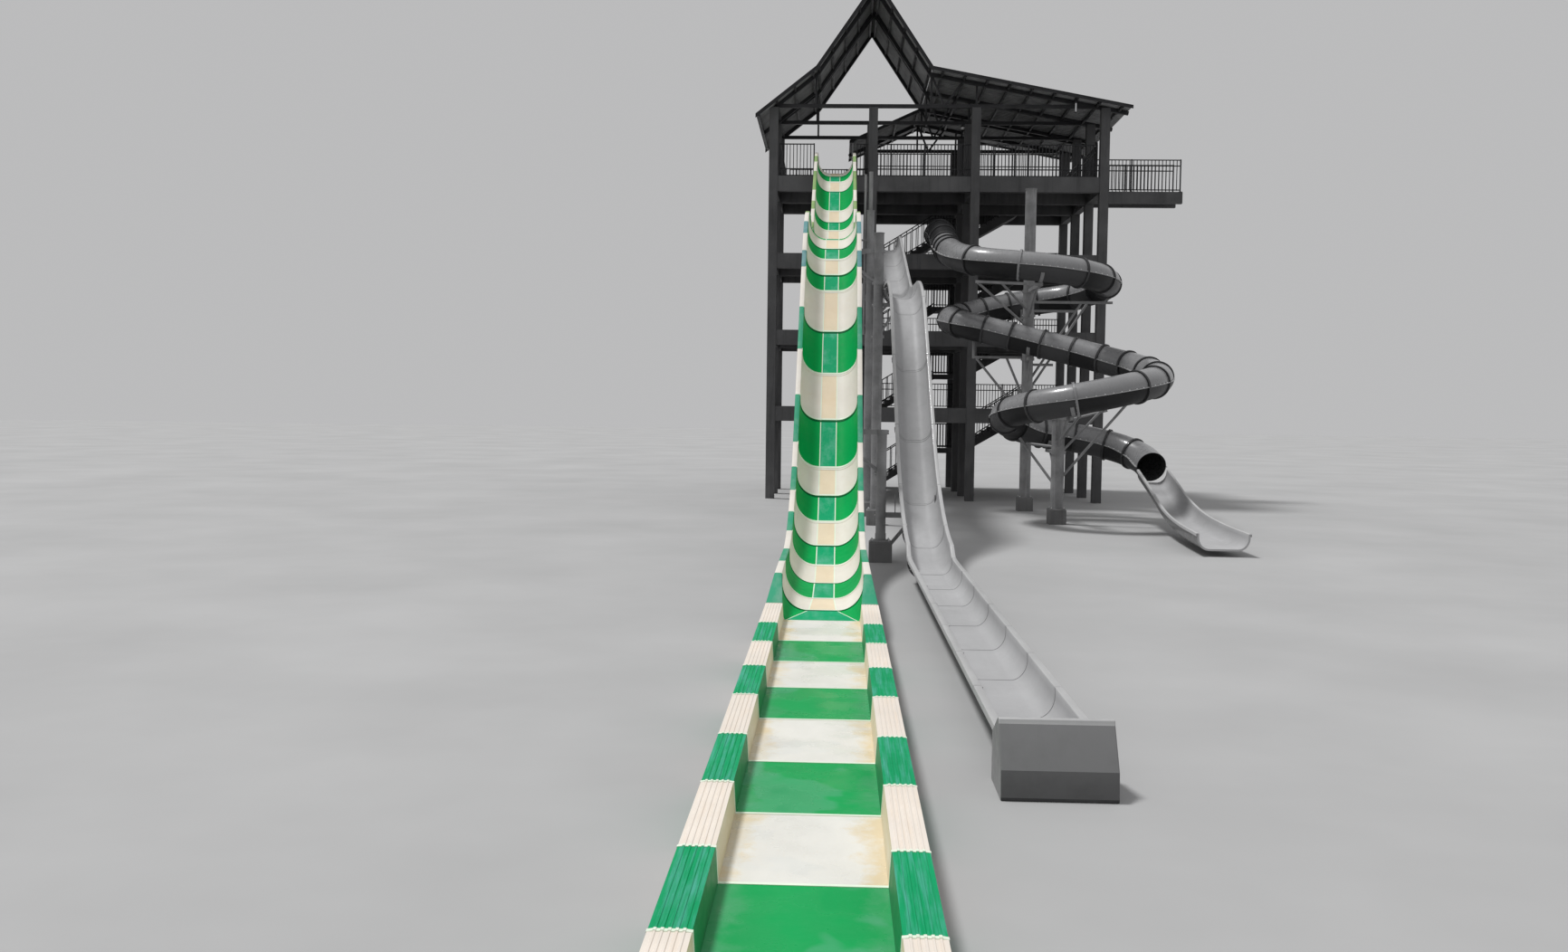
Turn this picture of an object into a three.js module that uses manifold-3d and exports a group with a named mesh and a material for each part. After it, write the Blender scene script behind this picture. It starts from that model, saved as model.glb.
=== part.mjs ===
// Water slide tower: a concrete frame with four decks and a steel roof, two open slides that leave
// it towards -Y, and an enclosed tube slide that winds down in front of it. It is a 1:2 scale model.
// Lengths are metres of the real tower. X runs to the right along the front, Y runs away from the
// front row of columns, Z is the height above the ground. The last lines scale it to millimetres.
import * as THREE from "three";
import { mergeVertices } from "three/addons/utils/BufferGeometryUtils.js";
import Module from "manifold-3d";

const wasm = await Module();
wasm.setup();

// Scale and clearance, and how far a cutting block reaches past what it cuts
const MODEL_SCALE = 0.5;
const MM_PER_METRE = 1000;
const GAP = 0.0008;
const CUT_MARGIN = 0.1;

// Concrete frame
const COLUMN = 0.35;
const COLUMN_TOP = 15.62;
const COLUMN_X = { A: -2.76, B: 1.2, C: 5.27, D: 10.34 };
const ROW_PITCH = 3.05;
const ROW_COUNT = 4;
const LEFT_BAY_ROWS = 3;
const GROUND_STOREY = 3.74;
const STOREY = 3.06;
const DECK_COUNT = 4;
const SLAB = 0.15;
const BEAM_DEPTH = 0.6;
const BEAM_WIDTH = 0.3;

// Stairs run along X in the rear bay, one straight run a storey with a landing beside column line C
const STAIR_Y = [7.3, 8.75];
const LANDING_X = [4.25, 5.55];
const RISER = 0.17;
const TREAD = 0.27;
const STAIR_SLAB = 0.2;
const STAIR_WELL_CLEARANCE = 0.05;
const HEADROOM = 2.0;

// Roof outline seen from the front: left eave, left kink, apex, right kink, right eave
const ROOF = {
  leftEave: [-3.45, 15.2],
  leftKink: [-1.09, 17.05],
  apex: [1.23, 20.4],
  rightKink: [3.48, 17.05],
  rightEave: [11.24, 15.57],
  rearEave: [0.3, 15.6],
};
const ROOF_SHEET = 0.06;
const ROOF_FRONT_Y = -0.9;
const GABLE_BACK_Y = 6.2;
const ROOF_BACK_Y = 10.6;
const RAFTER = 0.14;
const TIE_Z = COLUMN_TOP + 2 * GAP + RAFTER / 2;
const WEB = 0.08;
const WEB_FOOT_X = 4.0;
const WEB_HEAD_X = 4.72;
const PURLIN = 0.1;
const PURLIN_INSET = 0.05;
const PURLIN_SHARES = {
  roof_left_wing: [[0.06, 0.55]],
  roof_gable: [
    [0.04, 0.5, 0.97],
    [0.03, 0.5, 0.96],
  ],
  roof_right_wing: [[0.03, 0.25, 0.5, 0.75, 0.98]],
  roof_rear_slope: [[0.05, 0.5, 0.93]],
};

// Guard rails
const GUARD_HEIGHT = 1.35;
const GUARD_RAIL = 0.06;
const GUARD_FOOT = 0.1;
const GUARD_POST_PITCH = 1.3;
const GUARD_OFFSET = 0.24;
const GUARD_CORNER_GAP = 0.2;
const GUARD_SLIDE_GAP = 0.06;

// Bridge from the top deck to the right, a slab on two edge beams
const BRIDGE_X = [COLUMN_X.D + BEAM_WIDTH / 2 + GAP, 14.28];
const BRIDGE_Y = [3.24, 4.54];
const BRIDGE_DEPTH = 0.49;
const BRIDGE_EDGE_BEAM = 0.2;
const BRIDGE_GUARD_INSET = 0.05;
const BRIDGE_GUARD_END = 0.1;

// A trough's curved side takes this share of its depth, in this many straight steps
const TROUGH_CURVE_SHARE = 0.75;
const TROUGH_ARC_STEPS = 4;

// Main slide, a U-shaped trough that flares into a low run-out
const MAIN_X = -0.29;
const RUN_OUT = { floor: 0.33, top: 0.6, half: 0.895, opening: 0.625, floorHalf: 0.605, shell: 0.05 };
const RUN_OUT_Y = [-46.7, -32.1];
const END_WALL = { thickness: 0.22, height: 0.68 };
const MAIN_TROUGH = { halfFlat: 0.2, halfWidth: 0.68, depth: 0.8, rim: 0.12, shell: 0.05 };
const MAIN_LOW_TROUGH = { halfFlat: 0.2, halfWidth: 0.68, depth: 0.66, rim: 0.12, shell: 0.05 };
const MAIN_NECK = { halfFlat: 0.24, halfWidth: 0.68, depth: 0.62, rim: 0.13, shell: 0.05 };
const MAIN_MOUTH = { halfFlat: 0.58, halfWidth: 0.625, depth: 0.27, rim: 0.27, shell: 0.05 };
const MAIN_PATH = [
  { y: 2.1, z: 13.05, radius: 0 },
  { y: -0.9, z: 12.95, radius: 3 },
  { y: -8.42, z: 8.75, radius: 6 },
  { y: -15.2, z: 8.72, radius: 5.5 },
  { y: -24.51, z: RUN_OUT.floor, radius: 8 },
  { y: RUN_OUT_Y[1], z: RUN_OUT.floor, radius: 0 },
];
const MAIN_SHALLOW_Y = [-24.5, -27.6];
const MAIN_NECK_Y = -29.7;
const MAIN_FLARE_Y = -31.06;
const MAIN_MID_FLARE_Y = -31.6;
const MAIN_SPLITS_Y = [-6.6, -17.28, -23.08, MAIN_FLARE_Y];

// Grey slide, a narrower trough that starts one deck lower, turned a little about the vertical
const GREY_X = 1.82;
const GREY_TURN = 0.0078;
const GREY_TURN_Y = -8;
const GREY_TROUGH = { halfFlat: 0.13, halfWidth: 0.42, depth: 0.55, rim: 0.09, shell: 0.045 };
const GREY_LOW_TROUGH = { halfFlat: 0.2, halfWidth: 0.42, depth: 0.36, rim: 0.1, shell: 0.045 };
const GREY_PATH = [
  { y: -0.18, z: 9.9, radius: 0 },
  { y: -1.9, z: 9.8, radius: 3 },
  { y: -9.4, z: 7.1, radius: 6 },
  { y: -14.3, z: 7.0, radius: 5 },
  { y: -21.9, z: 0.2, radius: 10 },
  { y: -39.65, z: 0.14, radius: 0 },
];
const GREY_SHALLOW_Y = [-21.5, -25];
const GREY_SPLITS_Y = [-12.4, -25.6];
const GREY_STOP = { half: 0.56, y: [-40.4, -39.66], low: 0.55, high: 0.73, chamfer: [0.1, 0.12] };

// The steps of a curved path, and the least distance between two of its stations
const ARC_STEP = THREE.MathUtils.degToRad(7);
const STATION_MERGE = 0.02;

// Tube slide centre line, from the third deck down to its exit
const TUBE_RADIUS = 0.5;
const TUBE_WALL = 0.06;
const TUBE_SIDES = 12;
const TUBE_STEP = 1.0;
const TUBE_RUNS = [
  {
    name: "tube_entry_and_first_leg",
    points: [
      [3.86, 0.6, 10.72],
      [3.86, -0.4, 10.67],
      [3.82, -2.9, 10.14],
      [3.86, -4.6, 9.5],
      [4.2, -6.0, 9.06],
      [4.95, -7.0, 8.8],
      [6.1, -7.42, 8.65],
      [7.2, -7.5, 8.54],
    ],
  },
  {
    name: "tube_right_turn_and_second_leg",
    points: [
      [7.2, -7.5, 8.54],
      [8.15, -7.28, 8.42],
      [9.0, -6.5, 8.32],
      [9.5, -5.2, 8.23],
      [9.38, -3.8, 8.12],
      [8.6, -2.75, 7.97],
      [7.6, -2.36, 7.84],
      [6.4, -2.3, 7.64],
    ],
  },
  {
    name: "tube_left_turn_and_third_leg",
    points: [
      [6.4, -2.3, 7.64],
      [5.2, -2.5, 7.38],
      [4.35, -3.15, 7.13],
      [4.1, -4.1, 6.96],
      [4.6, -4.95, 6.73],
      [5.6, -5.36, 6.46],
      [7.0, -5.8, 6.08],
      [8.2, -6.3, 5.76],
    ],
  },
  {
    name: "tube_lower_right_turn_and_fourth_leg",
    points: [
      [8.2, -6.3, 5.76],
      [9.3, -7.0, 5.42],
      [10.05, -8.0, 5.14],
      [10.3, -9.2, 4.9],
      [10.1, -10.5, 4.7],
      [9.4, -11.6, 4.5],
      [8.35, -12.25, 4.27],
      [7.2, -12.4, 4.04],
    ],
  },
  {
    name: "tube_lower_left_turn_and_exit_leg",
    points: [
      [7.2, -12.4, 4.04],
      [6.35, -12.0, 3.88],
      [5.65, -11.1, 3.7],
      [5.4, -9.9, 3.49],
      [5.72, -8.75, 3.24],
      [6.5, -7.98, 3.0],
      [7.5, -7.76, 2.84],
      [8.6, -7.95, 2.66],
      [9.5, -8.4, 2.42],
      [10.02, -9.1, 2.14],
      [10.14, -9.9, 1.9],
    ],
  },
];

// Open chute that goes on from the tube's lower half and widens towards its end
const EXIT_TROUGH = { halfFlat: 0.16, halfWidth: 0.44, depth: 0.45, rim: 0.08, shell: 0.05 };
const EXIT_MOUTH = { halfFlat: 0.36, halfWidth: 0.62, depth: 0.4, rim: 0.08, shell: 0.05 };
const EXIT_POINTS = [
  [10.14, -10.0, 1.4],
  [10.17, -11.1, 1.05],
  [10.18, -12.4, 0.65],
  [10.1, -14.2, 0.36],
  [9.97, -16.4, 0.24],
  [9.85, -19.0, 0.2],
];
const EXIT_STATIONS = 14;
const EXIT_FLARE_START = 0.25;

// Pipe columns that carry the slides. The rear one has a thinner spigot on top
const OPEN_SLIDE_PIPES = [
  { name: "support_open_slides_rear", x: 0.96, y: -7.9, radius: 0.135, top: 10.4, spigotTop: 11.7 },
  { name: "support_open_slides_front", x: 1.16, y: -11.3, radius: 0.155, top: 9.2 },
  { name: "support_steep_part", x: 1.0, y: -21.2, radius: 0.12, top: 3.1 },
];
const PIPE_SIDES = 12;
const SPIGOT = { radius: 0.065, lap: 0.2, sides: 8 };
const PEDESTAL = { half: 0.275, height: 0.5 };
const BRACKET = 0.12;
const MAIN_ARM_REACH = 0.75;
const GREY_ARM_REACH = 0.45;
const STRUT_DROP = 1.0;
const TUBE_STRUT_SHARE = 0.7;
const TUBE_PIPES = [
  {
    name: "support_tube_rear",
    x: 6.83,
    y: -4.62,
    radius: 0.2,
    top: 11.7,
    arms: [
      [6.83, -7.5, 8.067],
      [6.83, -2.3, 7.196],
      [6.83, -5.75, 5.612],
    ],
  },
  {
    name: "support_tube_front",
    x: 7.1,
    y: -10.0,
    radius: 0.21,
    top: 3.42,
    arms: [
      [7.1, -12.4, 3.516],
      [7.1, -7.8, 2.4],
    ],
  },
];

// Colours
const FINISH = {
  concrete: new THREE.MeshStandardMaterial({ color: 0x5b5c5e, roughness: 0.92, metalness: 0 }),
  roofSheet: new THREE.MeshStandardMaterial({ color: 0x4a4c4f, roughness: 0.55, metalness: 0.4 }),
  steel: new THREE.MeshStandardMaterial({ color: 0x2f3133, roughness: 0.5, metalness: 0.6 }),
  pipe: new THREE.MeshStandardMaterial({ color: 0x77797b, roughness: 0.55, metalness: 0.5 }),
  green: new THREE.MeshStandardMaterial({ color: 0x079c53, roughness: 0.22, metalness: 0 }),
  white: new THREE.MeshStandardMaterial({ color: 0xe9e3d6, roughness: 0.22, metalness: 0 }),
  greySlide: new THREE.MeshStandardMaterial({ color: 0xb4b5b6, roughness: 0.25, metalness: 0 }),
  tube: new THREE.MeshStandardMaterial({ color: 0x8d8f91, roughness: 0.25, metalness: 0 }),
};

const rowY = (row) => (row - 1) * ROW_PITCH;
const deckZ = (deck) => GROUND_STOREY + (deck - 1) * STOREY;
const rowsAt = (line) => (line === "A" ? LEFT_BAY_ROWS : ROW_COUNT);

// Solids

function solidOf(geometry) {
  const bare = geometry.clone();
  bare.deleteAttribute("normal");
  bare.deleteAttribute("uv");
  const merged = mergeVertices(bare, 1e-5);
  const mesh = new wasm.Mesh({
    numProp: 3,
    vertProperties: new Float32Array(merged.attributes.position.array),
    triVerts: new Uint32Array(merged.index.array),
  });
  return new wasm.Manifold(mesh);
}

function geometryOf(solid) {
  const mesh = solid.getMesh();
  const geometry = new THREE.BufferGeometry();
  geometry.setAttribute("position", new THREE.BufferAttribute(mesh.vertProperties, 3));
  geometry.setIndex(new THREE.BufferAttribute(mesh.triVerts, 1));
  geometry.computeVertexNormals();
  return geometry;
}

const joined = (solids) => solids.reduce((sum, next) => sum.add(next));
const cut = (solid, tools) => tools.reduce((rest, tool) => rest.subtract(tool), solid);

function largestBody(solid) {
  const bodies = solid.decompose();
  return bodies.reduce((best, body) => (body.volume() > best.volume() ? body : best));
}

function block([x0, x1], [y0, y1], [z0, z1]) {
  const box = new THREE.BoxGeometry(x1 - x0, y1 - y0, z1 - z0);
  return solidOf(box.translate((x0 + x1) / 2, (y0 + y1) / 2, (z0 + z1) / 2));
}

function placedAlong(geometry, from, to) {
  const a = new THREE.Vector3(...from);
  const b = new THREE.Vector3(...to);
  const along = b.clone().sub(a).normalize();
  const up = Math.abs(along.z) > 0.99 ? new THREE.Vector3(0, 1, 0) : new THREE.Vector3(0, 0, 1);
  const side = new THREE.Vector3().crossVectors(along, up).normalize();
  const top = new THREE.Vector3().crossVectors(side, along);
  const basis = new THREE.Matrix4().makeBasis(side, along, top.clone());
  const middle = a.add(b).multiplyScalar(0.5);
  return solidOf(geometry.applyMatrix4(basis.setPosition(middle)));
}

function bar(from, to, width, height, spare = 0) {
  const length = new THREE.Vector3(...from).distanceTo(new THREE.Vector3(...to));
  const grow = 2 * spare;
  return placedAlong(new THREE.BoxGeometry(width + grow, length + grow, height + grow), from, to);
}

function pipe(from, to, radius, sides = PIPE_SIDES) {
  const length = new THREE.Vector3(...from).distanceTo(new THREE.Vector3(...to));
  return placedAlong(new THREE.CylinderGeometry(radius, radius, length, sides), from, to);
}

function extrudedAlongY(outline, [y0, y1]) {
  const shape = new THREE.Shape(outline.map(([x, z]) => new THREE.Vector2(x, z)));
  const geometry = new THREE.ExtrudeGeometry(shape, { depth: y1 - y0, bevelEnabled: false });
  return solidOf(geometry.rotateX(Math.PI / 2).translate(0, y1, 0));
}

function loft(rings, section) {
  const size = section.length;
  const positions = rings.flat().flatMap((p) => [p.x, p.y, p.z]);
  const index = [];
  for (let ring = 0; ring + 1 < rings.length; ring++) {
    for (let i = 0; i < size; i++) {
      const a = ring * size + i;
      const b = ring * size + ((i + 1) % size);
      index.push(a, b, a + size, b, b + size, a + size);
    }
  }
  const last = (rings.length - 1) * size;
  for (const [a, b, c] of THREE.ShapeUtils.triangulateShape(section, [])) {
    index.push(a, c, b, last + a, last + b, last + c);
  }
  const geometry = new THREE.BufferGeometry();
  geometry.setAttribute("position", new THREE.Float32BufferAttribute(positions, 3));
  geometry.setIndex(index);
  return solidOf(geometry);
}

// A trough's section: x across, y up from the inside of its floor
function troughSection({ halfFlat, halfWidth, depth, rim, shell }) {
  const curve = depth * TROUGH_CURVE_SHARE;
  const inside = [];
  const outside = [];
  for (let i = 0; i <= TROUGH_ARC_STEPS; i++) {
    const angle = (i / TROUGH_ARC_STEPS) * (Math.PI / 2);
    const across = Math.sin(angle);
    const up = 1 - Math.cos(angle);
    inside.push([halfFlat + (halfWidth - halfFlat) * across, curve * up]);
    outside.push([halfFlat + (halfWidth - halfFlat + shell) * across, (curve + shell) * up - shell]);
  }
  const half = [
    ...inside,
    [halfWidth, depth],
    [halfWidth + rim, depth],
    [halfWidth + rim, depth - shell],
    [halfWidth + shell, depth - shell],
    ...outside.reverse(),
  ];
  const mirrored = half.map(([x, y]) => [-x, y]).reverse();
  return [...half, ...mirrored].map(([x, y]) => new THREE.Vector2(x, y)).reverse();
}

const blended = (a, b, t) =>
  Object.fromEntries(Object.keys(a).map((key) => [key, THREE.MathUtils.lerp(a[key], b[key], t)]));

// The filleted path of an open slide, as stations { y, z, angle } where angle is the slope
function pathStations(corners) {
  const stations = [];
  const heading = (from, to) => Math.atan2(from.z - to.z, from.y - to.y);
  stations.push({ ...corners[0], angle: heading(corners[0], corners[1]) });
  for (let i = 1; i + 1 < corners.length; i++) {
    const corner = corners[i];
    const before = heading(corners[i - 1], corner);
    const after = heading(corner, corners[i + 1]);
    const turn = after - before;
    const tangent = corner.radius * Math.tan(Math.abs(turn) / 2);
    const side = Math.sign(turn);
    const start = {
      y: corner.y + tangent * Math.cos(before),
      z: corner.z + tangent * Math.sin(before),
    };
    const centre = {
      y: start.y + side * corner.radius * Math.sin(before),
      z: start.z - side * corner.radius * Math.cos(before),
    };
    const steps = Math.max(2, Math.ceil(Math.abs(turn) / ARC_STEP));
    for (let step = 0; step <= steps; step++) {
      const angle = before + (turn * step) / steps;
      stations.push({
        y: centre.y - side * corner.radius * Math.sin(angle),
        z: centre.z + side * corner.radius * Math.cos(angle),
        angle,
      });
    }
  }
  const last = corners.length - 1;
  stations.push({ ...corners[last], angle: heading(corners[last - 1], corners[last]) });
  return stations;
}

function stationAt(stations, y) {
  const next = stations.findIndex((station) => station.y <= y);
  const a = stations[next - 1];
  const b = stations[next];
  const t = (a.y - y) / (a.y - b.y);
  return {
    y,
    z: THREE.MathUtils.lerp(a.z, b.z, t),
    angle: THREE.MathUtils.lerp(a.angle, b.angle, t),
  };
}

// The stations between two cuts of a path, with a station of its own at each cut
function stretch(stations, fromY, toY) {
  const first = fromY >= stations[0].y ? stations[0] : stationAt(stations, fromY);
  const final = toY <= stations.at(-1).y ? stations.at(-1) : stationAt(stations, toY);
  const inside = (s) => s.y < first.y - STATION_MERGE && s.y > final.y + STATION_MERGE;
  return [first, ...stations.filter(inside), final];
}

function trough(stations, shapeAt) {
  const rings = stations.map(({ y, z, angle }) =>
    troughSection(shapeAt(y)).map(
      (p) => new THREE.Vector3(p.x, y - p.y * Math.sin(angle), z + p.y * Math.cos(angle)),
    ),
  );
  return loft(rings, troughSection(shapeAt(stations[0].y)));
}

// Nodes

const model = new THREE.Group();

function node(name, solid, material, parent = model) {
  const mesh = new THREE.Mesh(geometryOf(solid), material);
  mesh.name = name;
  parent.add(mesh);
  return mesh;
}

// Columns

function columnBlock(line, row, spare = 0) {
  const half = COLUMN / 2 + spare;
  const x = COLUMN_X[line];
  const y = rowY(row);
  return block([x - half, x + half], [y - half, y + half], [0, COLUMN_TOP + spare]);
}

const columnPlaces = Object.keys(COLUMN_X).flatMap((line) =>
  Array.from({ length: rowsAt(line) }, (_, i) => ({ line, row: i + 1 })),
);
const columnClearances = columnPlaces.map(({ line, row }) => columnBlock(line, row, GAP));
for (const { line, row } of columnPlaces) {
  node("column_" + line + row, columnBlock(line, row), FINISH.concrete);
}

// Decks: a slab on beams along the rows and along the column lines, cut round the columns

const stairTopX = (deck) => LANDING_X[1] + (risersBelow(deck) / 2) * TREAD;
const risersBelow = (deck) => 2 * Math.round((deck === 1 ? GROUND_STOREY : STOREY) / RISER / 2);

function deckSolid(deck) {
  const top = deckZ(deck);
  const edge = BEAM_WIDTH / 2;
  const left = COLUMN_X.A - edge;
  const step = COLUMN_X.B - edge;
  const right = COLUMN_X.D + edge;
  const front = -edge;
  const leftBack = rowY(LEFT_BAY_ROWS) + edge;
  const back = rowY(ROW_COUNT) + edge;
  const slabs = [
    block([left, right], [front, leftBack], [top - SLAB, top]),
    block([step, right], [front, back], [top - SLAB, top]),
  ];
  const drop = [top - BEAM_DEPTH, top - SLAB / 2];
  const rowBeams = Array.from({ length: ROW_COUNT }, (_, i) => {
    const y = rowY(i + 1);
    return block([i < LEFT_BAY_ROWS ? left : step, right], [y - edge, y + edge], drop);
  });
  const lineBeams = Object.entries(COLUMN_X).map(([line, x]) =>
    block([x - edge, x + edge], [front, rowY(rowsAt(line)) + edge], drop),
  );
  const wellStart = LANDING_X[0] - ((HEADROOM + SLAB - STOREY / 2) / RISER) * TREAD;
  const well = block(
    [wellStart, stairTopX(deck)],
    [STAIR_Y[0] - STAIR_WELL_CLEARANCE, STAIR_Y[1] + STAIR_WELL_CLEARANCE],
    [top - BEAM_DEPTH - CUT_MARGIN, top + CUT_MARGIN],
  );
  return largestBody(cut(joined([...slabs, ...rowBeams, ...lineBeams]), [well, ...columnClearances]));
}

for (let deck = 1; deck <= DECK_COUNT; deck++) {
  node("deck_" + deck, deckSolid(deck), FINISH.concrete);
}

// Stairs

function stairSolid(deck) {
  const foot = deck === 1 ? 0 : deckZ(deck - 1) + GAP;
  const risers = risersBelow(deck);
  const rise = (deckZ(deck) - foot) / risers;
  const half = risers / 2;
  const slope = Math.atan2(rise, TREAD);
  const drop = STAIR_SLAB / Math.cos(slope);
  const topSide = [];
  let x = LANDING_X[0] - half * TREAD;
  let z = foot;
  topSide.push([x, z]);
  for (let i = 0; i < half; i++) {
    z += rise;
    topSide.push([x, z]);
    x += TREAD;
    topSide.push([x, z]);
  }
  x = LANDING_X[1];
  topSide.push([x, z]);
  for (let i = 0; i < half; i++) {
    z += rise;
    topSide.push([x, z]);
    x += TREAD;
    if (i < half - 1) topSide.push([x, z]);
  }
  const endX = x - GAP;
  topSide.push([endX, z]);
  const landing = foot + half * rise;
  const underside = [
    [endX, z - drop - rise],
    [LANDING_X[1] + STAIR_SLAB / 2, landing - STAIR_SLAB],
    [LANDING_X[0] + STAIR_SLAB / 2, landing - STAIR_SLAB],
    [LANDING_X[0] - half * TREAD + drop / Math.tan(slope), foot],
  ];
  return extrudedAlongY([...topSide, ...underside].reverse(), STAIR_Y);
}

for (let deck = 1; deck <= DECK_COUNT; deck++) {
  node("stair_to_deck_" + deck, stairSolid(deck), FINISH.concrete);
}

// Roof sheets, with the purlins under them, and the trusses that carry them

function sheetSolid(points, yRange, spare = 0) {
  const bottom = points.map(([x, z]) => [x, z - ROOF_SHEET - spare]).reverse();
  const top = points.map(([x, z]) => [x, z + spare]);
  return extrudedAlongY([...top, ...bottom].reverse(), [yRange[0] - spare, yRange[1] + spare]);
}

const ROOF_SHEETS = [
  { name: "roof_left_wing", points: [ROOF.leftEave, ROOF.leftKink], y: [ROOF_FRONT_Y, GABLE_BACK_Y] },
  {
    name: "roof_gable",
    points: [ROOF.leftKink, ROOF.apex, ROOF.rightKink],
    y: [ROOF_FRONT_Y, GABLE_BACK_Y],
  },
  { name: "roof_right_wing", points: [ROOF.rightKink, ROOF.rightEave], y: [ROOF_FRONT_Y, ROOF_BACK_Y] },
  { name: "roof_rear_slope", points: [ROOF.rearEave, ROOF.rightKink], y: [GABLE_BACK_Y, ROOF_BACK_Y] },
];

const towards = (from, to, share) => [
  THREE.MathUtils.lerp(from[0], to[0], share),
  THREE.MathUtils.lerp(from[1], to[1], share),
];

function rightWingAt(x) {
  const share = (x - ROOF.rightKink[0]) / (ROOF.rightEave[0] - ROOF.rightKink[0]);
  return towards(ROOF.rightKink, ROOF.rightEave, share);
}

function trussBars(row, spare = 0) {
  const y = rowY(row);
  const upright = (x, z) => bar([x, y, TIE_Z], [x, y, z], WEB, WEB, spare);
  const link = (from, to, size) => bar([from[0], y, from[1]], [to[0], y, to[1]], size, size, spare);
  const below = ([x, z], drop) => [x, z - drop];
  const rafter = (from, to) => {
    const slope = Math.atan2(to[1] - from[1], to[0] - from[0]);
    const drop = ROOF_SHEET + GAP + RAFTER / 2 / Math.cos(slope);
    return link(below(from, drop), below(to, drop), RAFTER);
  };
  const drop = ROOF_SHEET + RAFTER / 2;
  const kink = below(ROOF.rightKink, drop);
  const full = row <= LEFT_BAY_ROWS;
  const tieStart = full ? COLUMN_X.A - COLUMN / 2 : COLUMN_X.B - COLUMN / 2;
  const bars = [
    link([tieStart, TIE_Z], [COLUMN_X.D + COLUMN / 2, TIE_Z], RAFTER),
    rafter(ROOF.rightKink, ROOF.rightEave),
    upright(...kink),
    link([WEB_FOOT_X, TIE_Z], kink, WEB),
    link([WEB_FOOT_X, TIE_Z], below(rightWingAt(WEB_HEAD_X), drop), WEB),
    upright(...below(rightWingAt(COLUMN_X.C), drop)),
  ];
  if (full) {
    bars.push(rafter(ROOF.leftEave, ROOF.leftKink));
    bars.push(rafter(ROOF.leftKink, ROOF.apex));
    bars.push(rafter(ROOF.apex, ROOF.rightKink));
    bars.push(upright(...below(ROOF.leftKink, drop)));
  } else {
    bars.push(rafter(ROOF.rearEave, ROOF.rightKink));
  }
  return joined(bars);
}

function trussSolid(row) {
  const sheets = ROOF_SHEETS.map(({ points, y }) => sheetSolid(points, y, GAP));
  return largestBody(cut(trussBars(row), [...columnClearances, ...sheets]));
}

const trussRows = Array.from({ length: ROW_COUNT }, (_, i) => i + 1);
const trussClearances = trussRows.map((row) => trussBars(row, GAP));
for (const row of trussRows) {
  node("roof_truss_" + row, trussSolid(row), FINISH.steel);
}

for (const { name, points, y } of ROOF_SHEETS) {
  const purlins = PURLIN_SHARES[name].flatMap((shares, side) =>
    shares.map((share) => {
      const [x, z] = towards(points[side], points[side + 1], share);
      const depth = z - ROOF_SHEET / 2 - PURLIN / 2;
      return bar([x, y[0] + PURLIN_INSET, depth], [x, y[1] - PURLIN_INSET, depth], WEB, PURLIN);
    }),
  );
  const clear = cut(joined([sheetSolid(points, y), ...purlins]), [...trussClearances, ...columnClearances]);
  node(name, largestBody(clear), FINISH.roofSheet);
}

// Guard rails: posts between a top and a foot rail, along a line of corners on a deck

function guardSolid(corners, deckTop, height = GUARD_HEIGHT) {
  const bars = [];
  const half = GUARD_RAIL / 2;
  for (let i = 0; i + 1 < corners.length; i++) {
    const [x0, y0] = corners[i];
    const [x1, y1] = corners[i + 1];
    const xs = [Math.min(x0, x1) - half, Math.max(x0, x1) + half];
    const ys = [Math.min(y0, y1) - half, Math.max(y0, y1) + half];
    for (const z of [GUARD_FOOT, height - GUARD_RAIL]) {
      bars.push(block(xs, ys, [deckTop + z, deckTop + z + GUARD_RAIL]));
    }
    const length = Math.hypot(x1 - x0, y1 - y0);
    const bays = Math.max(1, Math.round(length / GUARD_POST_PITCH));
    for (let post = 0; post <= bays; post++) {
      const x = THREE.MathUtils.lerp(x0, x1, post / bays);
      const y = THREE.MathUtils.lerp(y0, y1, post / bays);
      bars.push(block([x - half, x + half], [y - half, y + half], [deckTop + GAP, deckTop + height]));
    }
  }
  return joined(bars);
}

const topDeck = deckZ(DECK_COUNT);
const inner = {
  left: COLUMN_X.A + GUARD_OFFSET,
  right: COLUMN_X.D - GUARD_OFFSET,
  front: GUARD_OFFSET,
  back: rowY(ROW_COUNT) - GUARD_OFFSET,
  stepY: rowY(LEFT_BAY_ROWS) - GUARD_OFFSET,
  stepX: COLUMN_X.B + GUARD_OFFSET,
};
const chuteSide = MAIN_TROUGH.halfWidth + MAIN_TROUGH.rim + GUARD_SLIDE_GAP;
const bridgeGuard = {
  end: BRIDGE_X[1] - BRIDGE_GUARD_END,
  front: BRIDGE_Y[0] + BRIDGE_GUARD_INSET,
  rear: BRIDGE_Y[1] - BRIDGE_GUARD_INSET,
};
const GUARDS = [
  {
    name: "guard_deck_front",
    corners: [
      [MAIN_X + chuteSide, inner.front],
      [inner.right, inner.front],
    ],
  },
  {
    name: "guard_deck_left",
    corners: [
      [MAIN_X - chuteSide, inner.front],
      [inner.left, inner.front],
      [inner.left, inner.stepY],
    ],
  },
  {
    name: "guard_deck_step",
    corners: [
      [inner.left + GUARD_CORNER_GAP, inner.stepY],
      [inner.stepX, inner.stepY],
      [inner.stepX, inner.back],
    ],
  },
  {
    name: "guard_bridge_front",
    corners: [
      [inner.right, inner.front + GUARD_CORNER_GAP],
      [inner.right, bridgeGuard.front],
      [bridgeGuard.end, bridgeGuard.front],
    ],
  },
  {
    name: "guard_bridge_rear",
    corners: [
      [inner.right, inner.back - GUARD_CORNER_GAP],
      [inner.right, bridgeGuard.rear],
      [bridgeGuard.end, bridgeGuard.rear],
    ],
  },
];
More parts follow.
